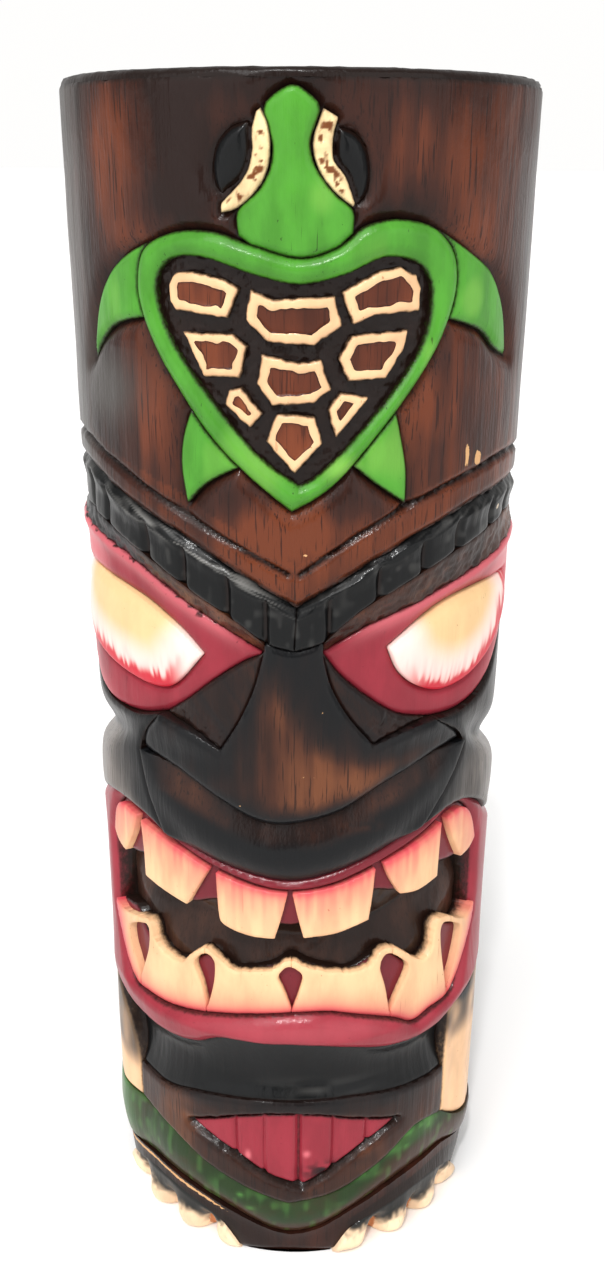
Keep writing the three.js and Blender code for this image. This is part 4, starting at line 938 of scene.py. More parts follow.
def log_marks(s, z, edge):
    out = outside(TURTLE, s, z)
    line = near_line(s, z, HAIRLINE_L, HAIRLINE_R)
    top = np.where(s < 0, line_at(BROW_TOP_L, s), line_at(BROW_TOP_R, s))
    strip = fade(z, top - 0.5, top + 0.8) * fade(line, 0, 1.5) * (z < top + 6.5)
    tone = (spots(s, z, LIGHT_PATCHES) + 0.3 * strip * (np.abs(s) < 45)
            - 0.5 * (z < 15) * (np.abs(s) < MASK_END))
    front = (z > 120) * (1 - fade(np.abs(s), 54, 65))
    # Greyer towards both sides of the front: charcoal stain, and partly a painted grazing sheen.
    left = fade(-s, 34, 47) * (0.75 + 0.3 * noise(s, z, (5, 14), 30)) * front
    right = 0.5 * fade(s, 40, 52) * front
    patch = 0.85 * spot(s, z, (-34, 157), (7, 4.5)) * (z < 163)
    skirt_gap = line_at(SKIRT_LOW, s) - z
    low = fade(skirt_gap, 1.2, 2.4) * fade(np.abs(s + 0.5), 8, 14) * (np.abs(s) < 56) * (z < 15)
    shade = np.maximum.reduce([left, right, patch])
    rubbed = (bell(skirt_gap - 0.75, 0.4) * (z < 15)
              * fade(-s, 8, 18) * fade(s, -58, -54))
    # Painted shade in the grooves round the turtle, along the hairlines and along the brow; the dark rim,
    # one dark fleck and the black strip above the feet are the wood's own.
    grime_and_shade = np.maximum.reduce([
        0.75 * bell(out, 0.7), 0.35 * bell(out, 1.8),
        0.8 * bell(line, 0.55), 0.8 * edge_shade(edge, 0.8) * (z > 20),
        0.7 * fade(z, HEIGHT - 2.4, HEIGHT - 1), 0.6 * spot(s, z, (47.5, 153.5), (0.7, 0.9))])
    grime_and_shade = np.maximum(grime_and_shade, low) * (1 - rubbed)
    return {"tone": tone, "shade": shade, "grime_and_shade": grime_and_shade,
            "worn_and_glint": spots(s, z, CHIPS) + 0.9 * rubbed}


def shell_bed(patch):
    """Dark ground between the scutes, left rough by the gouge."""
    field = without(inside_of(SHELL_INNER), *SCUTE_FIELDS.values())

    def depth(s, z, _):
        return -1.6 + 0.2 * crumbs(s, z, 40) + 0.2 * noise(s, z, (3, 3), 42)

    def marks(s, z, _):
        return {"grime_and_shade": 0.8 + 0.25 * noise(s, z, (2.2, 2.2), 43), "tone": -0.5}
    carve(patch, field, depth, marks, box_of(SHELL_INNER), FINE, TURTLE_BACK)


def throat(patch):
    """The open mouth: a dark hollow that deepens to a crease."""
    def from_crease(s, z):
        return z - (66 + 0.0065 * s ** 2)

    def depth(s, z, _):
        fall = np.clip(1 - np.abs(from_crease(s, z)) / 9, 0, 1)
        return -4.6 - 2.6 * fall + 0.12 * noise(s, z, (6, 2), 50) + 0.1 * crumbs(s, z, 51)

    def marks(s, z, edge):
        # Painted light and shade: the upper face lighter as if lit, the lower face darker as if shaded by
        # the upper lip, and the crease painted dark.
        above = fade(from_crease(s, z), 1.5, 5) * fade(np.abs(s), 14, 30)
        line = bell(from_crease(s, z), 0.5) * (s > 12)
        return {"tone": 0.9 * above - 0.5 * (1 - above), "grime_and_shade": np.maximum(
            edge_shade(edge, 0.7, 0.6), 0.8 * line)}
    carve(patch, inside_of(THROAT_EDGE), depth, marks, box_of(THROAT_EDGE), 0.5, GUM_BACK,
          slot=IN_MOUTH)


def turned(patch, profile, slot, marks, sides=180, wobble=0.0):
    """A turned surface through [radius, z] points, from the outside in."""
    points, faces = [], []
    angles = np.arange(sides) / sides * 2 * math.pi
    for k, (radius, z) in enumerate(profile):
        rough = wobble * noise(angles * 30, np.full(sides, 3.0 * k), (1.2, 1), 60 + k)
        ring = radius + (rough if radius > 0.1 else 0)
        points.append(np.column_stack((ring * np.sin(angles), -ring * np.cos(angles),
                                       np.full(sides, z) + rough * 0.5)))
    for k in range(len(profile) - 1):
        for i in range(sides):
            j = (i + 1) % sides
            faces.append([k * sides + i, (k + 1) * sides + i, (k + 1) * sides + j, k * sides + j])
    patch.add(np.vstack(points) * MM, faces, marks, slot)


def base_disc(patch, sides=180):
    """The sawn foot of the log; it stops short behind the toes, which stand on their own."""
    s = (np.arange(sides) / sides * 2 - 1) * HALF_GIRTH
    toes = ((s > FOOT_ARC_L[-1][0]) & (s < FOOT_ARC_L[0][0])
            | (s > FOOT_ARC_R[0][0]) & (s < FOOT_ARC_R[-1][0]))
    ring = on_log(s, np.zeros(sides), np.where(toes, LOG_WALL, -0.5))
    faces = [[i, sides, (i + 1) % sides] for i in range(sides)]
    patch.add(np.vstack((ring, [[0, 0, 0]])), faces, {"grime_and_shade": 0.3}, ON_END)


PLAIN_LOG = 9                  # farther than this from the carving, nothing follows its edge


def log_surface(patch):
    """The varnished face of the log round the carving, with walls down to the reliefs' seats."""
    fine = span(-MASK_END, MASK_END, STEP)
    rear = span(MASK_END, HALF_GIRTH, BACK_STEP)[1:]
    s_axis = np.concatenate((-rear[::-1], fine, rear))
    z_axis = span(0, HEIGHT - RIM_ROUND, STEP)
    mask = inside_of(MASK)
    field = without(level(PLAIN_LOG), mask, inside_of(FOOT_L), inside_of(FOOT_R), TURTLE)
    places, faces, rim = clip_grid(field, s_axis, z_axis)
    s, z = places.T
    edge = np.clip(-mask(s, z), 0, PLAIN_LOG)
    used, walls = edge_walls(rim, len(s))
    lower = on_log(s[used], z[used], np.full(len(used), LOG_WALL))
    marks = {name: np.concatenate((value, value[used]))
             for name, value in log_marks(s, z, edge).items()}
    patch.add(np.vstack((on_log(s, z, log_depth(s, z, edge)), lower)), faces + walls, marks)


def mask_seat(patch):
    """Wood behind the mask's reliefs, painted dark as shade in the gaps, further in where the log is not
    bored out.
    """
    s, z = np.meshgrid(span(-MASK_END - 1, MASK_END + 1, 3), span(4, 146, 4))
    rows, cols = s.shape
    cells = [[j * cols + i, j * cols + i + 1, (j + 1) * cols + i + 1, (j + 1) * cols + i]
             for j in range(rows - 1) for i in range(cols - 1)]
    s, z = s.ravel(), z.ravel()
    depth = np.where(z > BORE_FLOOR - 4, SEAT_AT_BORE, SEAT_BELOW_BORE)
    patch.add(on_log(s, z, depth), cells, {"grime_and_shade": 1.0})


def rim_and_bore(patch):
    """The rounded dark rim, the ring of end grain and the bore that the cup sits in."""
    outer = log_radius(HEIGHT - RIM_ROUND)
    shoulder = (outer - 1.4, HEIGHT - 0.02)
    turned(patch, [(outer - 0.28, HEIGHT - RIM_ROUND - 0.1), (outer - 0.35, HEIGHT - 0.7),
                   (outer - 0.7, HEIGHT - 0.25), shoulder], ON_SIDE, {"grime_and_shade": 0.8}, wobble=0.16)
    turned(patch, [shoulder, (33, HEIGHT), (30, HEIGHT - 0.05),
                   (BORE_RADIUS + 0.7, HEIGHT - 0.05), (BORE_RADIUS + 0.15, HEIGHT - 0.5),
                   (BORE_RADIUS, HEIGHT - 1.3)], ON_END, {"grime_and_shade": 0.1}, wobble=0.08)
    turned(patch, [(BORE_RADIUS, HEIGHT - 1.3), (BORE_RADIUS, BORE_FLOOR), (0.05, BORE_FLOOR)],
           ON_END, {"grime_and_shade": 0.3})


def make_log():
    """The log itself: everything that is not a relief piece of its own."""
    patch = Patch()
    log_surface(patch)
    shell_bed(patch)
    throat(patch)
    mask_seat(patch)
    rim_and_bore(patch)
    base_disc(patch)
    piece = patch.build("carved_log", LOG_MATERIALS)
    finish_piece(piece, ["log_body"], SLOTS[GROUND])


def make_liner():
    """Spun steel cup let into the bore, with a rolled lip."""
    outer = LINER_HIGH[0]
    inner = outer - LINER_WALL
    top, low = LINER_HIGH[2], LINER_LOW[2]
    lip = [(outer - LINER_LIP + LINER_LIP * math.cos(a), top - LINER_LIP + LINER_LIP * math.sin(a))
           for a in np.linspace(0, math.pi, 7)]
    bend = [(inner - LINER_BEND + LINER_BEND * math.cos(a),
             low + LINER_WALL + LINER_BEND - LINER_BEND * math.sin(a))
            for a in np.linspace(0, math.pi / 2, 6)]
    patch = Patch()
    turned(patch, [(0.05, low), (outer - 2, low), (outer, low + 2)] + lip + bend
           + [(0.05, low + LINER_WALL)], 0, {}, sides=120)
    piece = patch.build("steel_liner", [STEEL], crease=40)
    finish_piece(piece, ["liner_cup"], SLOTS[STEEL])


# ---------------------------------------------------------------- turtle

def green_marks(s, z, edge):
    """Scuffs where the flippers meet the shell, and a lighter rubbed edge."""
    meet = spots(s, z, (((-22, 170), (1.3, 7), 0.7), ((21.5, 172), (1.6, 8), 0.9),
                        ((-12, 148), (3, 2.5), 0.4), ((1, 181), (4, 1.2), 0.5)))
    scuff = meet * fade(noise(s, z, (0.5, 5), 70), 0.1, 0.7)
    rub = 0.5 * spot(s, z, (6, 147.5), (2.6, 1.6)) + 0.25 * fade(noise(s, z, (4, 7), 71), 0.2, 0.9)
    return {"grime_and_shade": np.maximum(edge_shade(edge, 0.4, 0.7), 0.8 * scuff), "blush_and_sheen": rub}


def carve_turtle():
    green = {"material": GREEN, "marks": green_marks, "step": 0.32, "floor": TURTLE_BACK}
    shell, head = inside_of(SHELL_OUTER), inside_of(HEAD)
    lids = {"left": inside_of(EYELID_LEFT), "right": inside_of(EYELID_RIGHT)}
    ring = without(shell, inside_of(SHELL_INNER))
    relief("turtle_shell_rim", SHELL_OUTER, level(0.45), field=ring, rounding=(1.9, 1.2), **green)
    relief("turtle_head", HEAD, lambda s, _z: 0.25 - 0.02 * np.abs(s) ** 1.5,
           field=without(head, shell, *lids.values()), rounding=(1.1, 0.7), **green)
    for side, flip in (("left", FRONT_FLIPPER_LEFT), ("right", FRONT_FLIPPER_RIGHT)):
        relief(f"front_flipper_{side}", flip,
               lambda s, _z: -0.1 - 0.012 * np.clip(np.abs(s) - 24, 0, 99) ** 1.5,
               field=without(inside_of(flip), shell), rounding=(1.3, 0.7), **green)
    for side, flip in (("left", REAR_FLIPPER_LEFT), ("right", REAR_FLIPPER_RIGHT)):
        relief(f"rear_flipper_{side}", flip, level(-0.15), field=without(inside_of(flip), shell),
               rounding=(1.0, 0.6), **green)
    for side, eye in (("left", TURTLE_EYE_LEFT), ("right", TURTLE_EYE_RIGHT)):
        around = any_of(inside_of(eye), lambda s, z, lid=lids[side]: lid(s, z) + 0.5)
        relief(f"turtle_eye_{side}", eye, level(-0.45), BLACK, step=FINE,
               floor=TURTLE_BACK, field=without(around, lids[side], head, shell),
               rounding=(1.6, 0.9))
    for side, lid in (("left", EYELID_LEFT), ("right", EYELID_RIGHT)):
        relief(f"turtle_eyelid_{side}", lid, level(-0.05), CORK,
               marks=cork_marks, step=FINE, floor=TURTLE_BACK, rounding=(0.7, 0.5), rough=0.3,
               field=lids[side])
    for name in SCUTES:
        carve_scute(name)


def cork_marks(s, z, edge):
    pits = fade(noise(s, z, (0.7, 0.9), 75) + 0.5 * noise(s, z, (0.35, 0.4), 76), 0.1, 0.6)
    return {"blush_and_sheen": pits * fade(edge, 0.25, 0.7), "grime_and_shade": edge_shade(edge, 0.25, 0.6)}


SCUTE_BORDER = 1.3
THIN_BORDERS = {"scute_low_left": 1.0, "scute_low_right": 1.05, "scute_middle_left": 1.25}


def carve_scute(name):
    """A cream border painted round a sunk middle of bare stained wood."""
    border = THIN_BORDERS.get(name, SCUTE_BORDER)

    def whole(s, z):
        return SCUTE_FIELDS[name](s, z) + 0.12 * noise(s, z, (0.8, 0.8), 80)

    def middle(s, z):
        return whole(s, z) - (border + 0.28 * noise(s, z, (1.6, 1.6), 81))

    def rest(s, z):
        return np.minimum(whole(s, z), -middle(s, z))

    def depth(s, z, _):
        edge = np.maximum(whole(s, z), 0)
        sunk = fade(edge, border - 0.25, border + 0.35)
        return -0.2 - 0.3 * sunk + roll_off(edge, 0.6, 0.5) + tool_marks(s, z)

    def border_marks(s, z, _):
        return {"grime_and_shade": edge_shade(np.maximum(whole(s, z), 0), 0.3, 0.7), "tone": 0.1}

    def middle_marks(_s, _z, edge):
        return {"grime_and_shade": edge_shade(edge, 0.25, 0.6), "tone": 0.15}
    patch = Patch()
    box = box_of(np.array(SCUTES[name], float))
    carve(patch, rest, depth, border_marks, box, FINE, TURTLE_BACK)
    carve(patch, middle, depth, middle_marks, box, FINE, TURTLE_BACK, slot=1)
    finish_piece(patch.build(name + "_relief", [CREAM, CREAM_WOOD]), [name], SLOTS[CREAM])


# ---------------------------------------------------------------- brow

BROW_GAPS_L = (-47.5, -42, -36.2, -25.6, -18.3, -11, -5)
BROW_GAPS_R = (4.8, 12.6, 20.2, 27.2, 36.4, 43.2)
BROW_SHELF = 1.7                # height of the torn shelf over the blocks


def brow_depth(gaps, top):
    """Dished blocks between upright cuts, below a shelf that slopes back to the brow's top."""
    def depth(s, z):
        below = line_at(top, s) - z
        cut = gap_to(gaps, s)
        shelf = -1.0 * fade(BROW_SHELF - below, 0, BROW_SHELF)
        dished = -0.35 * fade(below, BROW_SHELF, BROW_SHELF + 2.4)
        notch = 0.75 * bell(cut, 0.6) + 0.2 * bell(cut, 2)
        torn = bell(below - 0.9, 0.9)
        return (-0.05 + shelf + dished - notch * fade(below, 0.9, 2.2)
                + 0.25 * torn * fibres(s, z, (3, 0.5), 90)
                + 0.12 * noise(s, z, (2.5, 2.5), 91))
    return depth


def brow_marks(gaps, top):
    """Silvery torn fibres along the shelf, worst on the left beside the nose: a painted highlight on torn
    wood, with a painted grey sheen towards the sides.
    """
    def marks(s, z, edge):
        cut = gap_to(gaps, s)
        below = line_at(top, s) - z
        torn = bell(below - 1.2, 0.8) * fade(fibres(s, z, (3.4, 0.3), 92), 0.0, 0.7)
        left = spot(s, z, (-17, 134), (16, 9)) * (s < 0)
        scuffs = 0.04 * fade(noise(s, z, (1.2, 1.6), 93), 0.2, 0.9)
        fleck = spot(s, z, (38.5, 137.3), (0.5, 0.7))
        # Painted shade along the edge and in the cuts between the blocks.
        return {"grime_and_shade": np.maximum(edge_shade(edge, 0.3, 0.4), 0.6 * bell(cut, 0.5)
                                    * fade(below, 1.2, 2.4)),
                "worn_and_glint": fleck * 0.9,
                "blush_and_sheen": torn * (0.04 + 0.4 * left) + scuffs + 0.07 * fade(np.abs(s), 34, 56)}
    return marks


def ledge_depth(low, eye):
    def depth(s, z):
        top = line_at(low, s)
        share = np.clip((top - z) / np.maximum(top - line_at(eye, s), 0.5), 0, 1)
        eye_depth = -2.8 + eye_rise(s)
        return -0.6 + (eye_depth + 0.6) * share + 0.3 * crumbs(s, z, 95) * (0.4 + share)
    return depth


def ledge_marks(s, z, edge):
    rough = fade(noise(s, z, (3, 1.5), 96), 0.0, 0.7)
    # Torn fibres on the left: pale bare wood with painted highlights.
    left = spot(s, z, (-11, 123), (8, 5))
    return {"tone": 0.3 * rough - 0.2, "grime_and_shade": edge_shade(edge, 0.5, 0.5),
            "worn_and_glint": 0.5 * left * fade(fibres(s, z, (2.4, 0.4), 97), 0.2, 0.7),
            "shade": 0.75 * fade(-s, 18, 34)}


def carve_brow():
    middle = [[-0.2, 126.4], [-0.6, 119.4]]
    for side, top, low, eye, nose, corner, gaps in (
            ("left", BROW_TOP_L, BROW_LOW_L, EYE_TOP_L, NOSE_TOP[0], CORNER_L, BROW_GAPS_L),
            ("right", BROW_TOP_R, BROW_LOW_R, EYE_TOP_R, NOSE_TOP[2], CORNER_R, BROW_GAPS_R)):
        relief(f"brow_{side}", outline(top, middle, [NOSE_TOP[1], nose], back(low)),
               brow_depth(gaps, top), BLACK, marks=brow_marks(gaps, top),
               rounding=(0.6, 0.35), step=0.24)
        relief(f"brow_ledge_{side}", outline(low, [nose, corner], back(eye)),
               ledge_depth(low, eye), BROWN, marks=ledge_marks,
               rounding=(0.5, 0.2), step=0.36)


# ---------------------------------------------------------------- eyes

def eye_rise(s):
    """Both eyes rise from deep beside the nose to the log's own surface at the sides."""
    return 2.9 * fade(np.abs(s), 24, 50)


def socket_depth(top, ball):
    """A ridge along the lid, and a hollow round the eyeball."""
    def depth(s, z):
        below = line_at(top, s) - z
        ridge = 0.8 * bell(below, 2.0)
        gap = distance(ball, s, z)[0]
        return -3.1 + eye_rise(s) + ridge - 0.4 * bell(gap, 1.2)
    return depth


def socket_marks(top, side, rim_run):
    """Lighter towards the brow and round the side."""
    def marks(s, z, edge):
        below = line_at(top, s) - z
        along = 0.5 * bell(below, 1.8) * fade(side * s, 6, 16)
        out = 0.75 * fade(side * s, 36, 46) * fade(z, 112, 120)
        low = 0.5 * bell(near_line(s, z, rim_run), 2.4) * fade(side * s, 36, 46)
        specks = 0.7 * (noise(s, z, (0.9, 0.6), 99) > 0.55) * bell(below, 1.4)
        return {"blush_and_sheen": np.clip(np.maximum(along, out) + low, 0, 1),
                "grime_and_shade": np.maximum(edge_shade(edge, 0.3, 0.45), specks * (side < 0))}
    return marks


def ball_depth(middle, high):
    def depth(s, z):
        across, up = (s - middle[0]) / 19, (z - middle[1]) / 9
        dome = np.clip(1 - across ** 2 - up ** 2, 0, 1)
        lid = bell(near_line(s, z, high), 1.0)
        return -2.9 + eye_rise(s) + 1.3 * dome - 0.5 * lid
    return depth


def ball_marks(low, side):
    """Cream above, pinkish white below, and red brushed in from the lower edge."""
    def marks(s, z, edge):
        gap = near_line(s, z, low)
        streak = 1 + 0.5 * noise(s, z, (0.5, 3), 100)
        if side < 0:
            along = (1 - fade(s, -26, -19)) * fade(s, -47, -41)
            outer = 0.3 * fade(-s, 44, 50) * (1 - fade(z, 117, 122))
            width = 2.2
        else:
            along = fade(s, 17, 27)
            outer = 0.0 * s
            width = 1.5 + 1.3 * fade(s, 30, 42)
        red = (0.9 * np.exp(-(gap / (width * streak)) ** 4)
               + 0.3 * bell(gap, 2.6 * streak)) * along
        pink = 1 - fade(gap, 2.5, 9)
        return {"blush_and_sheen": np.clip(np.maximum(red, outer), 0, 1), "shade": 0.85 * pink,
                "grime_and_shade": NO_GRIME_OR_SHADE}
    return marks


def carve_eyes():
    for side, sign, ball_runs, top, low, rim_run, middle in (
            ("left", -1, EYEBALL_RUNS_L, EYE_TOP_L, EYE_LOW_L, EYE_SIDE_L, (-33, 117.5)),
            ("right", 1, EYEBALL_RUNS_R, EYE_TOP_R, EYE_LOW_R, EYE_SIDE_R, (31, 117.5))):
        high_run, low_run = ball_runs
        ball = outline(*ball_runs)
        socket = outline(low, rim_run, [rim_run[-1], top[0]], top)
        relief(f"eye_socket_{side}", socket, socket_depth(top, ball), CRIMSON,
               marks=socket_marks(top, sign, rim_run), rounding=(1.0, 0.5),
               field=without(inside_of(socket), inside_of(ball)))
        relief(f"eyeball_{side}", ball, ball_depth(middle, high_run), EYEBALL,
               marks=ball_marks(low_run, sign), rounding=(0.6, 0.25), step=0.36)


# ---------------------------------------------------------------- nose, cheeks and upper lip

def nose_depth(s, z):
    bridge = np.clip((z - 108) / 10, 0, 1)
    flank = np.clip(np.abs(s) / 32, 0, 1)
    under = np.exp(-np.clip(z - line_at(NOSE_LOW, s), 0, 99) / 1.8)
    nostril = spots(s, z, (((-19, 99.5), (9, 2.6), 1.0), ((22, 101), (9, 2.4), 1.0)))
    return -0.9 * bridge - 1.1 * flank ** 2 - 1.1 * under - 0.55 * nostril


# Where the black airbrushed over the nose leaves brown wood to be seen, where the wood is
# lighter or darker, and where the paint is chipped.
NOSE_BARE = (((-3.6, 108), (2.6, 6), 0.85), ((-1.2, 99), (6.5, 8), 1.3), ((9, 97.4), (8, 4), 1.1),
             ((-12, 95.4), (6, 2.2), 0.35), ((25, 99.8), (5, 1.6), 0.4), ((-9.4, 100), (1, 5), 0.3),
             ((-24, 97.4), (5, 1.0), 0.25), ((18, 99), (4, 1.6), 0.35))
NOSE_TONE = (((-1.5, 98), (2, 8), 0.6), ((9, 97), (6, 3), 0.7), ((-4.5, 104), (0.8, 9), -0.6))
NOSE_CHIPS = (((3.4, 109.6), (1.1, 0.5), 0.62), ((3.8, 108.4), (0.8, 0.4), 0.5),
              ((1.8, 98.6), (2.0, 0.8), 0.62), ((-9.5, 92.9), (1.4, 0.4), 0.6),
              ((0.6, 92.4), (1.6, 0.6), 0.58))


def nose_marks(s, z, edge):
    spray = 0.16 * noise(s, z, (3, 6), 110) + 0.08 * noise(s, z, (0.8, 3), 109)
    under = 0.5 * bell(z - line_at(NOSE_LOW, s), 1.6)
    shade = np.clip(0.93 - spots(s, z, NOSE_BARE) + spray + under, 0, 0.95)
    ragged = fade(noise(s, z, (0.5, 0.5), 111), 0, 0.6)
    return {"shade": shade, "tone": spots(s, z, NOSE_TONE) - 0.1,
            "worn_and_glint": spots(s, z, NOSE_CHIPS) * ragged,
            "grime_and_shade": edge_shade(edge, 0.4, 0.4)}


def roll_share(s, z):
    top, low = line_at(NOSE_LOW, s), line_at(LIP_TOP_M, s)
    return np.clip((z - low) / np.maximum(top - low, 1), 0, 1)


def roll_end(s, z):
    """1 where the roll runs out into the cheeks, 0 along its middle."""
    end = near_line(s, z, ROLL_END_L, ROLL_END_R)
    return bell(end, 4)


def roll_depth(s, z):
    rolled = -2.6 + 2.0 * np.sin(math.pi * roll_share(s, z) ** 0.85)
    return rolled + (-1.0 - rolled) * roll_end(s, z)


def roll_marks(s, z, edge):
    share = roll_share(s, z)
    wave = 0.08 * noise(s, z, (8, 3), 112)
    low = 1 - fade(share + wave, 0.42, 0.72)
    side = 0.5 * fade(np.abs(s), 20, 30) * (share < 0.6)
    # A small painted highlight on the roll: less black there, so it shows lighter.
    grey = 0.4 * spot(s, z, (11.5, 88.6), (4, 1.0)) * fade(noise(s, z, (1.2, 0.6), 113), -0.6, 0.3)
    end = roll_end(s, z)
    return {"shade": np.clip(np.maximum.reduce([low, side, 0.9 * end]) + 0.25, 0, 0.95) - grey,
            "tone": -0.4, "grime_and_shade": edge_shade(edge, 0.5, 0.8) * (share > 0.5) * (1 - end)}


def cheek_depth(side, waist):
    """A lobe below a groove that runs up and in from the waist of the log."""
    def depth(s, z):
        out = fade(side * s, 30, 42)
        offset = z - line_at(waist, s)
        groove = np.exp(-(np.where(offset < 0, offset / 2.2, offset / 3.6)) ** 2)
        lobe = 0.5 * out * spot(s, z, (side * 47, 87.5), (14, 6))
        return -1.0 + 0.5 * out + lobe - 2.3 * out * groove
    return depth


def cheek_marks(side, nose_end, roll_end, waist):
    def marks(s, z, edge):
        inner = near_line(s, z, nose_end, roll_end)
        above = fade(z - line_at(waist, s), -1.5, 1.0)
        dark = np.maximum(bell(inner, 5), 0.9 * above)
        low = fade(84 - z, 0, 4) * 0.5 * (side * s < 42)
        cloud = 0.22 * noise(s, z, (5, 4), 114)
        # Lighter grey out on the lobes: charcoal paint, and partly a painted grazing sheen.
        pale = fade(side * s, 36, 46) * (1 - above)
        return {"shade": np.clip(np.maximum(dark, low) + cloud, 0, 1) * 0.92 * (1 - 0.8 * pale),
                "tone": pale, "grime_and_shade": np.maximum(edge_shade(edge, 0.4, 0.6),
                                                  0.5 * above * fade(side * s, 30, 36))}
    return marks


def facet(a, b, c):
    """Depth of the plane through three [s, z, d] corners."""
    corners = np.array([a, b, c], float)
    normal = np.cross(corners[1] - corners[0], corners[2] - corners[0])

    def depth(s, z):
        rise = normal[0] * (s - corners[0][0]) + normal[1] * (z - corners[0][1])
        return corners[0][2] - rise / normal[2]
    return depth


def under_eye_depth(plane, notch):
    def depth(s, z):
        torn = spot(s, z, *notch)
        return plane(s, z) + torn * (0.5 * crumbs(s, z, 116) - 0.2)
    return depth


def under_eye_marks(s, z, edge):
    streak = noise(s + z, z - s, (1.2, 9), 117)
    # A painted glint on each torn notch, laid on as pale bare wood.
    glint = np.where(s < 0, spot(s, z, (-17, 104.2), (4, 1.2)), spot(s, z, (15.6, 105), (4, 1.4)))
    return {"tone": 0.4 * streak - 0.1, "shade": np.clip(0.45 + 0.3 * streak, 0, 1),
            "worn_and_glint": 0.5 * glint * fade(crumbs(s, z, 118), 0.2, 0.6),
            "grime_and_shade": edge_shade(edge, 0.4, 0.45)}


def carve_mid_face():
    for side, flank, ledge, low, notch in (
            ("left", FLANK_L, LEDGE_L, EYE_LOW_L, ((-17, 104.6), (7, 2.2))),
            ("right", FLANK_R, LEDGE_R, EYE_LOW_R, ((16, 105.4), (7, 2.4)))):
        plane = facet([*flank[-1], -0.9], [*ledge[-1], -2.8], [*flank[0], -2.4])
        relief(f"under_eye_{side}", outline(flank, ledge, back(low)),
               under_eye_depth(plane, notch), BROWN,
               marks=under_eye_marks, rounding=(0.8, 0.5), step=0.36)
    nose = outline(NOSE_TOP, [NOSE_TOP[2], CORNER_R], FLANK_R, LEDGE_R, NOSE_END_R, back(NOSE_LOW),
                   back(NOSE_END_L), back(LEDGE_L), back(FLANK_L), [CORNER_L, NOSE_TOP[0]])
    relief("nose", nose, nose_depth, BROWN, marks=nose_marks, rounding=(1.3, 0.6))
    relief("upper_lip_roll", outline(NOSE_LOW, ROLL_END_R, back(LIP_TOP_M), ROLL_END_L),
           roll_depth, BROWN, marks=roll_marks, rounding=(0.4, 0.15))
    left = outline(EYE_SIDE_L, [EYE_SIDE_L[-1], LIP_TOP_L[0]], LIP_TOP_L, ROLL_END_L,
                   back(NOSE_END_L))
    right = outline(EYE_SIDE_R, [EYE_SIDE_R[-1], LIP_TOP_R[-1]], back(LIP_TOP_R),
                    back(ROLL_END_R), back(NOSE_END_R))
    for side, sign, edge, end, roll, waist in (
            ("left", -1, left, NOSE_END_L, ROLL_END_L, WAIST_L),
            ("right", 1, right, NOSE_END_R, ROLL_END_R, WAIST_R)):
        relief(f"cheek_{side}", edge, cheek_depth(sign, waist), CHARCOAL,
               marks=cheek_marks(sign, end, roll, waist), rounding=(1.0, 0.4))


# ---------------------------------------------------------------- mouth

TOOTH_STEP = 0.32
TOOTH_BACK = -4.5


def tooth_depth(s, _z):
    """Deep in the middle of the mouth, and out to the lips at its corners."""
    return -2.5 + 1.8 * (s / 42) ** 2


def gum_depth(s, z):
    return tooth_depth(s, z) - 1.5


LOWER_LIP = 48.5               # height where it stands out most


def lip_depth(s, z):
    low = np.clip(1 - np.abs(z - LOWER_LIP) / 9, 0, 1)
    side = fade(np.abs(s), 34, 50)
    return -1.9 + 2.1 * low + 1.8 * side * (1 - low)


def lip_marks(s, z, edge):
    chip = spots(s, z, (((-0.3, 79.7), (1.5, 0.6), 1.0), ((8, 82.2), (1.2, 0.4), 0.7)))
    # A painted highlight along the lower lip, and a painted sheen out at the sides.
    highlight_and_sheen = 0.12 * spot(s, z, (2, 50.5), (26, 2.2)) + 0.2 * fade(np.abs(s), 44, 54)
    return {"worn_and_glint": chip * fade(noise(s, z, (0.5, 0.4), 120), -0.4, 0.4), "blush_and_sheen": highlight_and_sheen,
            # Painted shade on the upper lip under the roll.
            "shade": 0.2 * fade(z, 74, 79) * (np.abs(s) < 26),
            "grime_and_shade": edge_shade(edge, 0.35, 0.6)}


def upper_marks(s, z, _):
    gap = near_line(s, z, MOUTH_TOP)
    hairs = 0.25 * noise(s, z, (0.7, 6), 121)
    red = 0.5 * bell(gap, 1.3) + 0.36 * bell(gap, 5.4 + 4 * hairs)
    return {"blush_and_sheen": np.clip(red + hairs * np.exp(-gap / 3), 0, 1), "grime_and_shade": NO_GRIME_OR_SHADE}


def lower_marks(s, z, _):
    gap = near_line(s, z, MOUTH_LOW)
    red = 0.5 * bell(gap, 1.1) + 0.3 * bell(gap, 3.2)
    side = 0.35 * fade(np.abs(s), 38, 43)
    return {"blush_and_sheen": np.clip(red + side, 0, 1), "grime_and_shade": NO_GRIME_OR_SHADE}


# The gaps between the lower teeth are drops, rounded above and pointed below.
DROPS = (
    outline([[-34.9, 51.2], [-38, 56], [-38.6, 59.2], [-37, 60.9], [-33.4, 62.6], [-31.5, 62.6],
             [-31.8, 58], [-34.9, 51.2]]),
    outline([[-17.4, 51.4], [-18.6, 56], [-20, 59.4], [-19, 61.4], [-17.2, 62.4], [-15.7, 61.2],
             [-15.9, 57], [-17.4, 51.4]]),
    outline([[-0.8, 53.4], [-2.2, 57], [-3.4, 59.8], [-2.6, 61.4], [-1.2, 62.2], [0.6, 61.2],
             [1.2, 59.8], [0.5, 57], [-0.8, 53.4]]),
    outline([[18.4, 50.4], [17.2, 56], [16, 60], [16.6, 62], [17.9, 62.5], [20.4, 60.8],
             [22.3, 58.4], [20.6, 54.6], [18.4, 50.4]]),
    outline([[33.5, 48.8], [32, 54], [30.6, 60.6], [30.7, 63.6], [32.4, 63.6], [36, 61.6],
             [37.2, 60.2], [36, 55], [33.5, 48.8]]),
)
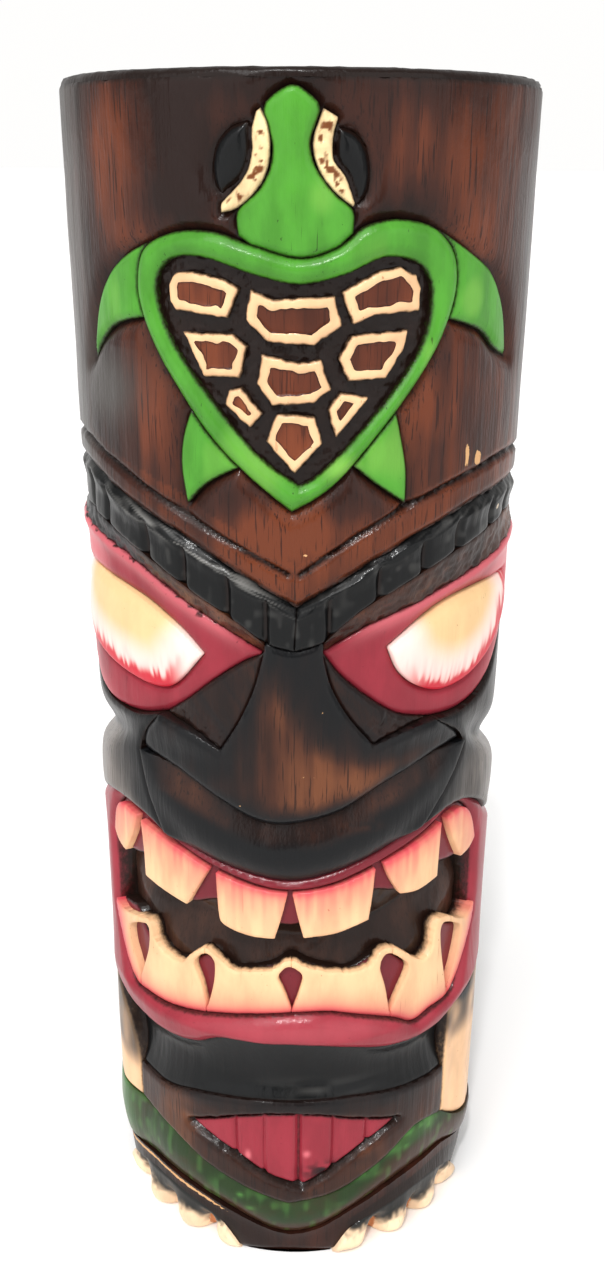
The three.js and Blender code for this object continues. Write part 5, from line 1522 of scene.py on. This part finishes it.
DROP_MIDDLES = (-35, -17.6, -0.9, 18.6, 33.8)
ROW_ENDS = (-46, 44)            # the lower teeth lie between these, along the girth
ROW_HEIGHTS = (44, 68)
# All the lower teeth together, up to the tips that show between the drops.
LOWER_BAND = outline(MOUTH_LOW, [[-45.4, 62], [-42.4, 61.9], [-39.8, 61.8], [-35.6, 63],
    [-32, 64], [-30.4, 63], [-29.8, 60.6], [-26, 59], [-22.6, 59.2], [-20.6, 61.4], [-17.4, 63.5],
    [-14.8, 62], [-12, 60.4], [-8, 60.6], [-4.6, 61.3], [-1.2, 63.4], [1.8, 62], [6, 61],
    [11, 60.4], [14.2, 61.2], [15.6, 63.2], [18, 63.7], [21, 62], [23.6, 59.8], [26.2, 58.7],
    [28.2, 60.6], [28.4, 63.2], [29.8, 65.2], [33, 64.5], [37.2, 62], [40.4, 61.8], [42.8, 63],
    [42.4, 60]])
LOWER_FIELD = inside_of(LOWER_BAND)


def lower_tooth(low, high):
    """Field of the band of lower teeth between two places, ragged along its top."""
    def field(s, z):
        ragged = LOWER_FIELD(s, z) + 0.2 * noise(s, z, (0.7, 0.5), 123) * (z > 56)
        return np.minimum(ragged, np.minimum(s - low, high - s))
    return field


def carve_mouth():
    hole = outline(MOUTH_TOP, [[42, 76.4], [42.4, 60]], MOUTH_LOW, [[-45.4, 62], [-45.4, 76]])
    lips = outline(LIP_TOP_L, LIP_TOP_M, LIP_TOP_R, [[MASK_END, 74], [MASK_END, 48.6]], LIP_LOW_R,
                   LIP_LOW_M, LIP_LOW_L, [LIP_LOW_L[-1], LIP_TOP_L[0]])
    relief("mouth_lips", lips, lip_depth, CRIMSON, marks=lip_marks,
           rounding=(2.0, 1.2), field=without(inside_of(lips), inside_of(hole)))
    for half, gum in (("upper", outline(MOUTH_TOP, back(GUM_EDGE_TOP))),
                      ("lower", outline(MOUTH_LOW, GUM_EDGE_LOW))):
        relief(f"gum_{half}", gum, gum_depth, CRIMSON, floor=GUM_BACK,
               marks=lambda *_: {"shade": 0.25})
    for number, tooth in enumerate(UPPER_TEETH, 1):
        relief(f"tooth_upper_{number}", tooth, tooth_depth, CREAM, marks=upper_marks,
               rounding=(0.6, 0.35), step=TOOTH_STEP, floor=TOOTH_BACK)
    drops = [inside_of(drop) for drop in DROPS]
    limits = (ROW_ENDS[0], *DROP_MIDDLES, ROW_ENDS[1])
    for k, (low, high) in enumerate(zip(limits, limits[1:])):
        box = np.array([(low, ROW_HEIGHTS[0]), (high, ROW_HEIGHTS[1])], float)
        relief(f"tooth_lower_{k + 1}", box, tooth_depth, CREAM, marks=lower_marks,
               rounding=(0.5, 0.25), step=TOOTH_STEP, floor=TOOTH_BACK,
               field=without(lower_tooth(low, high), *drops[max(k - 1, 0):k + 1]))


# ---------------------------------------------------------------- chin, skirt and feet

TONGUE_RIBS = (-12, -6.2, 0.6, 7.4, 14.4)
MIDDLE_RIB = 0.6                # the deepest
TONGUE_FIELD = inside_of(TONGUE)


CHIN_FOLD = 38.6               # height of the deepest part of the black band


def band_depth(s, z):
    lower_edge = line_at(CHIN_LOW_M, np.clip(s, -37, 34))
    edge = np.where(z < CHIN_FOLD, lower_edge, line_at(LIP_LOW_M, s))
    share = np.abs(z - CHIN_FOLD) / np.maximum(np.abs(edge - CHIN_FOLD), 1)
    return -3.7 + 1.6 * np.clip(share, 0, 1) ** 2


def band_marks(s, z, edge):
    sheen = spot(s, z, (4, 36.5), (10, 1.6)) * fade(noise(s, z, (5, 1.2), 129), -0.4, 0.6)
    return {"blush_and_sheen": 0.05 * sheen, "grime_and_shade": edge_shade(edge, 0.4, 0.6)}


def chin_depth(s, z):
    out = outside(TONGUE_FIELD, s, z)
    groove = bell(out, 0.8)
    return -1.5 - 1.5 * groove + 0.35 * crumbs(s, z, 130) * bell(out, 1.3)


def chin_marks(s, z, edge):
    out = outside(TONGUE_FIELD, s, z)
    upper = fade(z, 28, 34)
    # Painted shade in the groove round the tongue.
    return {"grime_and_shade": np.maximum(0.85 * bell(out, 1.0), edge_shade(edge, 0.4, 0.5)),
            "tone": 0.3 * fade(-s, -2, 12) * (1 - upper) - 0.25,
            "shade": 0.2 + 0.4 * upper + 0.15 * noise(s, z, (5, 2), 132)}


def tongue_depth(s, _z):
    d = np.full(s.shape, -2.5)
    for rib in TONGUE_RIBS:
        deep, wide = (0.9, 0.65) if rib == MIDDLE_RIB else (0.5, 0.4)
        d = d - deep * bell(s - rib, wide)
    return d


def tongue_marks(s, z, edge):
    # Painted shade down the rib grooves.
    line = np.max([bell(s - rib, 0.45) * (0.8 if rib == MIDDLE_RIB else 0.4)
                   for rib in TONGUE_RIBS], axis=0)
    spill = spot(s, z, (6.5, 19), (4.4, 1.6)) * fade(noise(s, z, (1.1, 0.8), 131), -0.5, 0.1)
    flecks = spots(s, z, (((-9.5, 21.8), (0.5, 0.9), 0.8), ((2.2, 23), (0.6, 0.6), 0.7)))
    return {"shade": 0.9 * spill, "grime_and_shade": np.maximum(line * 0.75, edge_shade(edge, 0.35, 0.7)),
            "blush_and_sheen": flecks}


def skirt_depth(s, z):
    top = np.where(s < -1.5, line_at(SKIRT_TOP_ML, s), line_at(SKIRT_TOP_MR, s))
    low = line_at(SKIRT_LOW, s)
    share = np.clip((z - low) / np.maximum(top - low, 1), 0, 1)
    out = 1.9 * fade(np.abs(s), 32, 46) - 0.2 * fade(np.abs(s), 56, MASK_END - 1)
    return -2.0 + out + 0.5 * np.sin(math.pi * share)


def panel_depth(s, _z):
    return -1.5 + 1.4 * fade(np.abs(s), 36, 46)


# Painted highlights on the skirt, mostly along its top edge, as (centre, half size, amount).
SKIRT_HIGHLIGHTS = (((12, 16.6), (4, 0.7), 0.4), ((20, 19.8), (4, 0.7), 0.4),
                ((30.5, 22.3), (2.2, 2), 0.8), ((-9, 10.5), (0.9, 0.45), 0.8),
                ((-33, 17.5), (0.7, 2.6), 0.3), ((-11, 13), (0.6, 0.5), 0.5),
                ((24, 21.6), (4, 1.4), 0.4))


def skirt_marks(s, z, edge):
    low = line_at(SKIRT_LOW, s)
    middle = 1 - fade(np.abs(s - 2), 12, 24)
    brown = (fade(s, 10, 22) * fade(low + 7 - z, 0, 4) * 0.9
             + (0.4 + 0.5 * middle) * fade(low + 3.4 - z, 0, 2.4))
    cloud = 0.2 * noise(s, z, (4, 3), 133) + 0.1 * noise(s, z, (1, 1), 140)
    dabs = fade(noise(s, z, (1.4, 1.2), 141), 0.1, 0.7)
    wisps = 0.3 * fade(noise(s, z, (1.3, 2.2), 134), 0.1, 0.9)
    return {"blush_and_sheen": np.clip(spots(s, z, SKIRT_HIGHLIGHTS) * (0.35 + 0.65 * dabs) + wisps * 0.4
                             + 0.25 * fade(-s, 36, 48), 0, 1),
            "shade": np.clip(brown + cloud, 0, 1) * 0.85,
            "grime_and_shade": edge_shade(edge, 0.3, 0.4) * fade(np.abs(s), 10, 20)}


def panel_marks(side):
    def marks(s, z, edge):
        grey = fade(z, 27, 33) if side < 0 else fade(z, 34, 40)
        cloud = 0.25 * noise(s, z, (3, 4), 136)
        piece = spot(s, z, (40.5, 45.5), (2.2, 2)) if side > 0 else 0
        return {"shade": np.clip(0.45 * grey + cloud * grey + piece, 0, 0.95),
                "grime_and_shade": edge_shade(edge, 0.4, 0.7)}
    return marks


TOE_GAPS_L = (-39.6, -29.4, -19.4)
TOE_GAPS_R = (16.4, 26.4, 35.6)
TOE_LEAN = 0.7


def toe_depth(gaps):
    """Toes swell out at the ground between deep cuts; above them the foot slopes back."""
    def depth(s, z):
        cut = gap_to(gaps, s - TOE_LEAN)
        notch = bell(cut, 1.7) * fade(7.2 - z, 0, 4)
        toe = bell(z - 1.5, 4.2) * (1 - bell(cut, 3))
        under = np.exp(-z / 0.8)
        return (-0.9 + 2.1 * toe - 2.0 * notch - 0.6 * under
                + 0.25 * noise(s, z, (2.2, 1.6), 139) * fade(6 - z, 0, 2))
    return depth


def toe_marks(gaps):
    """Black sprayed from above; bare brown wood in the cuts."""
    def marks(s, z, edge):
        cut = gap_to(gaps, s - TOE_LEAN)
        spray = 0.35 * noise(s, z, (0.7, 0.7), 138) + 0.25 * noise(s, z, (3, 2), 137)
        high = z + 1.1 * np.cos(np.clip(cut / 4, 0, 1) * math.pi)
        shade = fade(high + 2.2 * spray, 2.6, 6.4)
        bare = 0.9 * bell(cut, 1.3) * fade(5 - z, 0, 1.5)
        return {"shade": np.clip(shade, 0, 0.96), "worn_and_glint": bare, "grime_and_shade": NO_GRIME_OR_SHADE}
    return marks


def carve_chin():
    end = [[PANEL_S_R, 31.8], [34.6, 44.2]]
    relief("chin_band", outline(CHIN_LOW_M, end, LIP_LOW_M, back(PANEL_FRONT_L)), band_depth,
           BLACK, marks=band_marks, rounding=(0.8, 0.3))
    ground = outline(CHIN_LOW_M, [[PANEL_S_R, 31.8], [PANEL_S_R, 21.4]], back(SKIRT_TOP_MR),
                     back(SKIRT_TOP_ML), [[PANEL_S_L, 22.8], [PANEL_S_L, 30.5]])
    relief("chin_ground", ground, chin_depth, BROWN, marks=chin_marks,
           rounding=(1.0, 0.4), field=without(inside_of(ground), TONGUE_FIELD), step=0.36)
    relief("tongue_panel", TONGUE, tongue_depth, CRIMSON, marks=tongue_marks,
           rounding=(0.6, 0.3), step=0.32)
    skirt = outline(SKIRT_TOP_L, SKIRT_TOP_ML, SKIRT_TOP_MR, SKIRT_TOP_R, [SKIRT_TOP_R[-1], SKIRT_LOW[-1]],
                    back(SKIRT_LOW), [SKIRT_LOW[0], SKIRT_TOP_L[0]])
    relief("skirt_band", skirt, skirt_depth, OLIVE, marks=skirt_marks,
           rounding=(0.6, 0.2))
    left = outline(PANEL_FRONT_L, LIP_LOW_L, [LIP_LOW_L[-1], SKIRT_TOP_L[0]], SKIRT_TOP_L,
                   [[PANEL_S_L, 22.8], [PANEL_S_L, 30.5]])
    relief("side_panel_left", left, panel_depth, CREAM, marks=panel_marks(-1))
    right = outline(LIP_LOW_R, back(end), [[PANEL_S_R, 31.8], [PANEL_S_R, 21.4]], SKIRT_TOP_R,
                    [SKIRT_TOP_R[-1], LIP_LOW_R[0]])
    relief("side_panel_right", right, panel_depth, CREAM, marks=panel_marks(1))
    for side, arc, gaps in (("left", FOOT_ARC_L, TOE_GAPS_L), ("right", FOOT_ARC_R, TOE_GAPS_R)):
        relief(f"foot_{side}", outline(arc), toe_depth(gaps), FOOT,
               marks=toe_marks(gaps), rounding=(0.8, 0.4), step=0.32)


# ---------------------------------------------------------------- stage

FLOOR = 30                     # metres from the middle to each side


def add_floor():
    mesh = bpy.data.meshes.new("floor")
    corners = [(-FLOOR, -FLOOR, 0), (FLOOR, -FLOOR, 0), (FLOOR, FLOOR, 0), (-FLOOR, FLOOR, 0)]
    mesh.from_pydata(corners, [], [(0, 1, 2, 3)])
    finish = Finish("floor")
    finish.shader.inputs["Base Color"].default_value = (0.95, 0.945, 0.94, 1)
    finish.shader.inputs["Roughness"].default_value = 0.7
    mesh.materials.append(finish.material)
    floor = bpy.data.objects.new("floor", mesh)
    bpy.context.collection.objects.link(floor)


def add_sun(name, towards, strength, width):
    """A large far lamp: towards is the direction to it, width the angle it fills, in degrees."""
    data = bpy.data.lights.new(name, "SUN")
    data.energy = strength
    data.angle = math.radians(width)
    lamp = bpy.data.objects.new(name, data)
    bpy.context.collection.objects.link(lamp)
    lamp.rotation_mode = "QUATERNION"
    lamp.rotation_quaternion = Vector(towards).to_track_quat("Z", "Y")


def add_world():
    """A pale room, brighter behind the mug than in front of it."""
    world = bpy.data.worlds.new("world")
    bpy.context.scene.world = world
    world.use_nodes = True
    nodes, links = world.node_tree.nodes, world.node_tree.links
    shader = nodes["Background"]
    shader.inputs["Color"].default_value = (1, 0.995, 0.985, 1)
    direction = nodes.new("ShaderNodeTexCoord").outputs["Generated"]
    parts = nodes.new("ShaderNodeSeparateXYZ")
    links.new(direction, parts.inputs[0])
    glow = nodes.new("ShaderNodeMapRange")
    glow.inputs["From Min"].default_value = -0.6
    glow.inputs["From Max"].default_value = 0.4
    glow.inputs["To Min"].default_value = 0.3
    glow.inputs["To Max"].default_value = 0.75
    links.new(parts.outputs["Y"], glow.inputs["Value"])
    seen = nodes.new("ShaderNodeLightPath").outputs["Is Camera Ray"]
    power = nodes.new("ShaderNodeMix")
    links.new(seen, power.inputs[0])
    links.new(glow.outputs["Result"], power.inputs[2])
    power.inputs[3].default_value = 1.0
    links.new(power.outputs[0], shader.inputs["Strength"])


make_log()
make_liner()
carve_turtle()
carve_brow()
carve_eyes()
carve_mid_face()
carve_mouth()
carve_chin()
add_floor()
add_world()
add_sun("key", (-0.25, -0.6, 1.0), 1.5, 40)
add_sun("fill_left", (-0.9, -1.0, 0.45), 1.0, 60)
add_sun("fill_right", (0.9, -1.0, 0.45), 1.0, 60)
add_sun("glint", (-0.15, -0.75, 1.0), 1.0, 3)
bpy.context.scene.view_settings.view_transform = "Standard"
